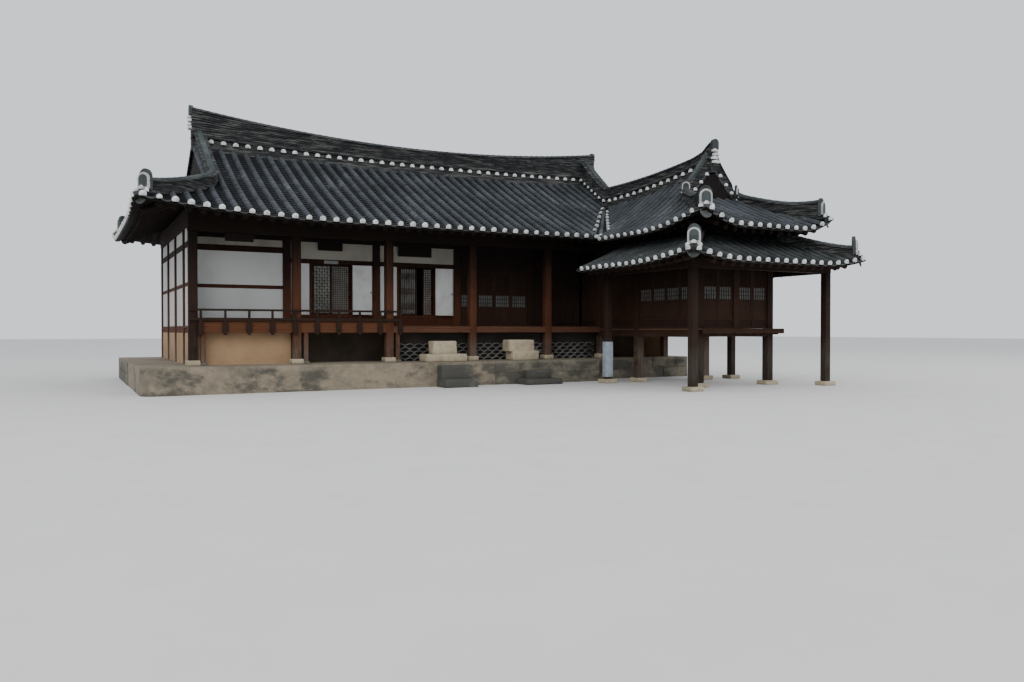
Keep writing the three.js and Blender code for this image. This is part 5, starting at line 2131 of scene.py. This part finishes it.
@dataclass
class Railing:
    """The low railing over the first two bays: two rails on studs that broaden over the edge boards."""

    end: float = 5.12
    ys: Span = (-0.150, -0.1003)
    studs: int = 10
    first: float = 0.16
    top: float = 1.95
    low: float = 1.74
    foot: float = 1.33

    def build(self) -> None:
        """Makes the rails and the studs."""
        piece = Piece("railing")
        for z, deep in ((self.top, 0.050), (self.low, 0.075)):
            piece.box((-0.1, self.end), self.ys, (z - deep, z))
        for x in spread(self.first, self.end - 0.05, self.studs - 1):
            for half, low, high in ((0.026, self.low, self.top - 0.05), (0.045, 1.60, self.low - 0.07),
                                    (0.062, self.foot + 0.05, 1.61), (0.040, self.foot, self.foot + 0.06)):
                piece.box(around(x, half), self.ys, (low, high))
        piece.soften(0.008, 2)
        piece.dress(RAILING, ("verandah_railing",))


@dataclass
class TileScreen:
    """Openwork of roof tiles stacked in waves under the verandah."""

    start: float = 5.06
    ys: Span = (0.16, 0.28)
    arc: float = 0.26
    rise: float = 0.075
    row: float = 0.095
    rows: int = 5
    thick: float = 0.015

    def wave(self) -> bpy.types.Mesh:
        """One curved tile seen on its edge."""
        piece = Piece("wave_shape")
        half = (self.ys[1] - self.ys[0]) / 2
        profile = ((-half, 0), (-half, self.thick), (half, self.thick), (half, 0))
        shares = [k / 3 - 1 for k in range(7)]
        spots = [Vector((share * self.arc * 0.62, 0, self.rise * (1 - share * share))) for share in shares]
        stations = [Station(spot, Vector((0, 1, 0)), UP) for spot in spots]
        piece.tube(len(stations), len(profile), lambda i, j: stations[i].at(*profile[j]))
        return piece.mould()

    def build(self) -> None:
        """Makes the rows of tiles and the dark bed behind them."""
        tiles, back = pieces("tile_screen", "tiles", "back")
        wave = self.wave()
        count = int((WALL_END - self.start) / self.arc)
        for row in range(self.rows):
            shift = self.arc / 2 * (row % 2)
            for k in range(count - row % 2):
                x = self.start + self.arc * (k + 0.5) + shift
                tiles.stamp(wave, Matrix.Translation((x, sum(self.ys) / 2, PLATFORM_TOP + row * self.row)))
        tiles.dress(SCREEN_TILE, ("tile_screen",), smooth=40)
        back.box((self.start, WALL_END), (self.ys[1] - 0.03, self.ys[1]), (PLATFORM_TOP, 1.37))
        back.dress(SHADOW_CLAY, ("tile_screen",), smooth=None)


@dataclass
class Pavilion:
    """The raised room: leaves on three sides, its floor frame and its ledge."""

    floor: float = 1.492
    under: float = 1.27
    sill: float = 1.76
    head: float = 3.19
    top: float = 3.90
    rear: float = 0.98
    ledge: Spot = (14.18, -4.62)
    ledge_wide: float = 0.07
    boards: int = 34

    def wall(self, parts: WallParts, start: Spot, end: Spot, leaves: int, lattice: Lattice) -> None:
        """Adds one bay: a low panel, leaves, a head rail and boards above.

        Args:
            parts: The wall's pieces.
            start: The bay's left end, seen from outside.
            end: Its right end.
            leaves: How many leaves it has.
            lattice: How they are filled.
        """
        first, last = Vector((*start, 0)), Vector((*end, 0))
        way = (last - first).normalized()
        place = axes_at(first, way, Vector((-way.y, way.x, 0)))
        long = (last - first).length
        panel = (self.floor + 0.06, self.sill - 0.05)
        for rail in ((self.floor, panel[0]), (panel[1], self.sill)):
            parts.timber.box((0, long), around(0, 0.065), rail, place)
        parts.dark.box((0, long), around(0, 0.04), panel, place)
        for x in spread(0, long, leaves):
            stud = min(max(x, 0.022), long - 0.022)
            parts.timber.box(around(stud, 0.022), around(0, 0.055), panel, place)
        leaf = Leaf(long / leaves - 0.008, self.sill + 0.004, self.head - 0.004, lattice, 0.052)
        parts.hang(leaf, leaves, long, place @ Matrix.Translation((0, -0.050, 0)))
        parts.timber.box((0, long), around(0, 0.075), (self.head, self.head + 0.13), place)
        parts.dark.box((0, long), around(0, 0.035), (self.head + 0.13, self.top), place)
        parts.timber.box((0, long), around(0, 0.060), (3.58, 3.64), place)

    def walls(self) -> None:
        """Makes the three walls with their posts."""
        names = ("pavilion_left", "pavilion_front", "pavilion_right")
        left, front, right = sides = [WallParts(name, (f"{name}_wall",)) for name in names]
        centre = (BODY_LEFT + BODY_RIGHT) / 2
        for parts, start, end, leaves, lattice in (
            (left, (BODY_LEFT, -0.1), (BODY_LEFT, BODY_MIDDLE + 0.1), 3, Lattice.BOARDED),
            (left, (BODY_LEFT, BODY_MIDDLE - 0.1), (BODY_LEFT, BODY_FRONT + 0.1), 4, Lattice.HALL),
            (left, (BODY_LEFT, self.rear), (BODY_LEFT, 0.1), 2, Lattice.BOARDED),
            (front, (BODY_LEFT + 0.1, BODY_FRONT), (centre - 0.09, BODY_FRONT), 2, Lattice.HALL),
            (front, (centre + 0.09, BODY_FRONT), (BODY_RIGHT - 0.1, BODY_FRONT), 2, Lattice.HALL),
            (right, (BODY_RIGHT, BODY_FRONT + 0.1), (BODY_RIGHT, BODY_MIDDLE - 0.1), 4, Lattice.HALL),
            (right, (BODY_RIGHT, BODY_MIDDLE + 0.1), (BODY_RIGHT, -0.1), 3, Lattice.BOARDED),
        ):
            self.wall(parts, start, end, leaves, lattice)
        for parts, x, y, half, foot in (
            (left, BODY_LEFT, BODY_MIDDLE, POST_HALF, 0.11), (left, BODY_LEFT, 0.0, POST_HALF, 0.74),
            (front, centre, BODY_FRONT, 0.09, self.floor), (right, BODY_RIGHT, BODY_MIDDLE, POST_HALF, 0.11),
        ):
            parts.timber.box(around(x, half), around(y, half), (foot, self.top))
        for parts in sides:
            parts.dress(LEAF_TIMBER)
        stones = Piece("pavilion_middle_stones")
        for x in (BODY_LEFT, BODY_RIGHT):
            lay_stone(stones, (x, BODY_MIDDLE), (0.36, 0.36), (0.0, 0.12), 0.022)
        lay_stone(stones, (BODY_LEFT, 0.0), (0.30, 0.30), (PLATFORM_TOP, 0.745), 0.022)
        stones.dress(PALE_STONE, ("pavilion_left_wall", "pavilion_right_wall"))

    def base(self) -> None:
        """Makes the floor frame, the floor boards and the ledge with its brackets."""
        node = ("pavilion_floor",)
        frame_piece, boards = pieces("pavilion", "floor_frame", "boards")
        right, front = self.ledge
        for x in (BODY_LEFT, BODY_RIGHT):
            frame_piece.box(around(x, 0.09), (BODY_FRONT + 0.1, self.rear), (self.under, 1.46))
        for y in (BODY_FRONT, BODY_MIDDLE, -0.05):
            span = (self.under + 0.01, 1.45)
            frame_piece.box((BODY_LEFT + 0.1, BODY_RIGHT - 0.1), around(y, 0.08), span)
        frame_piece.box((WALL_END, right), (front, front + self.ledge_wide), (1.36, 1.485))
        frame_piece.box((right - self.ledge_wide, right), (front + self.ledge_wide, -0.11), (1.36, 1.485))
        for k in range(8):
            frame_piece.box(around(11.55 + k * 0.35, 0.035), (-4.56, BODY_FRONT - 0.08), (1.33, 1.43))
        for k in range(10):
            frame_piece.box((BODY_RIGHT + 0.08, 14.12), around(-4.2 + k * 0.44, 0.035), (1.33, 1.43))
        frame_piece.soften(0.008)
        frame_piece.dress(CROSS_BEAMS, node, smooth=None)
        cuts = spread(front + 0.01, self.rear, self.boards)
        for start, end in zip(cuts, cuts[1:]):
            reach = right - 0.01 if end < -0.12 else BODY_RIGHT - 0.1
            boards.box((BODY_LEFT - 0.09, reach), (start + 0.002, end - 0.002), (1.452, 1.489))
        boards.dress(FLOOR_BOARDS, node, smooth=None)

    def build(self) -> None:
        """Makes the pavilion."""
        self.walls()
        self.base()


@dataclass
class NameBoards:
    """Three small blank boards under the eave and a blank plate over a doorway."""

    hung: tuple[tuple[Span, Span], ...] = (((3.20, 3.85), (3.53, 3.78)), ((5.41, 6.39), (3.47, 3.83)))
    rim: float = 0.025

    def build(self) -> None:
        """Makes the boards."""
        boards, rims, plate = Piece("blank_boards"), Piece("blank_board_rims"), Piece("blank_plate")
        boards.box((0.72, 1.385), (-0.02, 0.02), (3.56, 3.762))
        for xs, zs in self.hung:
            boards.box(xs, (0.925, 0.955), zs)
            low, high = zs[0] + self.rim, zs[1] - self.rim
            for span in ((zs[0], low), (high, zs[1])):
                rims.box(xs, (0.915, 0.930), span)
            for span in ((xs[0], xs[0] + self.rim), (xs[1] - self.rim, xs[1])):
                rims.box(span, (0.915, 0.930), (low, high))
        boards.soften(0.012, 2)
        boards.dress(DARK_BOARDS, smooth=None)
        rims.dress(LEAF_TIMBER, smooth=None)
        plate.box((3.37, 3.75), (0.972, 0.986), (3.19, 3.275))
        plate.soften(0.003)
        plate.dress(GREY_LIME, smooth=None)


@dataclass
class Eaves:
    """What shows under the roofs: the rafters, and the strips over the beams."""

    over_plate: float = 4.2
    over_wing: float = 4.29
    over_lower: float = 3.0

    def build(self) -> None:
        """Makes the parts under the eaves."""
        for slope in Roofs().slopes():
            Rafters(slope).build()
        strips = Piece("infill_strips")
        for start, end, low, height in (
            ((0.1, 0.0), (11.4, 0.0), self.over_wing, MAIN.top),
            ((0.0, WING_REAR), (BODY_RIGHT, WING_REAR), self.over_wing, MAIN.top),
            ((0.0, 0.0), (0.0, WING_REAR), self.over_plate, MAIN.top),
            ((BODY_RIGHT, 0.1), (BODY_RIGHT, WING_REAR), self.over_plate, MAIN.top),
            ((BODY_LEFT, -4.3), (BODY_LEFT, 0.0), self.over_plate, UPPER.top),
            ((BODY_RIGHT, -4.3), (BODY_RIGHT, 0.0), self.over_plate, UPPER.top),
            ((11.5, BODY_FRONT), (13.86, BODY_FRONT), self.over_plate, UPPER.top),
            ((OUTER_LEFT, -5.3), (OUTER_LEFT, -1.8), self.over_lower, LOWER.top),
            ((OUTER_RIGHT, -5.3), (OUTER_RIGHT, -1.8), self.over_lower, LOWER.top),
            ((10.45, OUTER_FRONT), (14.91, OUTER_FRONT), self.over_lower, LOWER.top),
        ):
            Infill(start, end, low, height).build(strips)
        strips.dress(SOFFIT, smooth=None)


@dataclass
class Studio:
    """The floor, the lights and the camera."""

    eye: Point = (-9.70, -21.075, 1.45)
    heading: float = 28.5
    pitch: float = -0.77
    lens: float = 28.8

    def build(self) -> None:
        """Sets up the studio."""
        bpy.ops.mesh.primitive_plane_add(size=260, location=(0, 0, 0))
        floor = bpy.context.object
        floor.name = "floor"
        floor.data.materials.append(dressed(FLOOR))
        world = bpy.data.worlds.new("studio")
        bpy.context.scene.world = world
        world.use_nodes = True
        sky = world.node_tree.nodes["Background"].inputs
        sky["Color"].default_value = (0.88, 0.93, 1.0, 1)
        sky["Strength"].default_value = 1.12
        self.light("key", (-26, -30, 30), 30, 9000)
        self.light("fill", (26, -18, 22), 26, 3500)
        camera = bpy.data.cameras.new("camera")
        camera.lens, camera.sensor_width, camera.clip_end = self.lens, 36, 500
        holder = bpy.data.objects.new("camera", camera)
        holder.location = self.eye
        holder.rotation_euler = (math.radians(90 + self.pitch), 0, math.radians(-self.heading))
        bpy.context.scene.collection.objects.link(holder)
        bpy.context.scene.camera = holder

    def light(self, name: str, spot: Point, size: float, power: float) -> None:
        """Adds a large soft lamp that looks at the house.

        Args:
            name: Its name.
            spot: Where it hangs.
            size: Its side.
            power: Its watts.
        """
        data = bpy.data.lights.new(name, "AREA")
        data.size, data.energy = size, power
        lamp = bpy.data.objects.new(name, data)
        lamp.location = spot
        lamp.rotation_euler = (Vector((0, 0, 2)) - Vector(spot)).to_track_quat("-Z", "Y").to_euler()
        bpy.context.scene.collection.objects.link(lamp)


OUTER_WALLS = (
    OuterWall("left_end_wall", False, 0.0, (0.11, WING_REAR), (1.05, 2.77, 4.49, 6.2)),
    OuterWall("rear_wall", True, WING_REAR, (0.11, 13.77), (2.4, 4.8, 7.2, 9.6, BODY_LEFT)),
    OuterWall("right_end_wall", False, BODY_RIGHT, (0.0, WING_REAR), (0.0, 1.05, 2.77, 4.49, 6.2)),
)
STANDING_POSTS = (
    *(
        StandingPost(f"front_post_{k + 1}", BAY * k, 0.0, 0.20, 0.30, PLATFORM_TOP, 0.74, 3.76)
        for k in range(5)
    ),
    *(
        StandingPost(f"pavilion_post_{side}", x, BODY_FRONT, 0.20, 0.40, 0.0, 0.11, 3.90)
        for side, x in (("left", BODY_LEFT), ("right", BODY_RIGHT))
    ),
    *(
        StandingPost(f"outer_post_{row}_{side}", x, y, 0.18, 0.38, 0.0, 0.11, 2.93)
        for row, y in (("front", OUTER_FRONT), ("rear", BODY_MIDDLE))
        for side, x in (("left", OUTER_LEFT), ("right", OUTER_RIGHT))
    ),
)


def dress_nodes() -> None:
    """Gives the CAD nodes that stay a finish of their own."""
    finishes = {finish.slot: finish for finish in (STONE, POSTS, PLASTER, CLAY, COVER_TILE, PAPER)}
    slots = {row["node"]: row["material_slot"] for row in frame["record"]["subparts"]}
    # The raised floor takes the dark clay: painted shade in the store under it
    own = {
        "front_beam": BEAMS, "pavilion_plate": CROSS_BEAMS, "lower_roof_beams": BEAMS,
        "raised_floor": SHADED_STORE_CLAY,
    }
    for name, thing in frame["nodes"].items():
        material = dressed(own.get(name, finishes[slots[name]]))
        for place in thing.material_slots:
            place.material = material


def main() -> None:
    """Builds the whole scene in order."""
    logging.basicConfig(level=logging.INFO, format="%(message)s", stream=sys.stdout)
    noise.seed_set(STONE_SEED)
    Studio().build()
    dress_nodes()
    for part in (
        Roofs(), Eaves(), FrontWall(), Doors(), *OUTER_WALLS, *STANDING_POSTS, Sheath(), Platform(),
        Verandah(), Railing(), TileScreen(), Pavilion(), NameBoards(),
    ):
        part.build()
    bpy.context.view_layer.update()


if __name__ == "__main__":
    main()
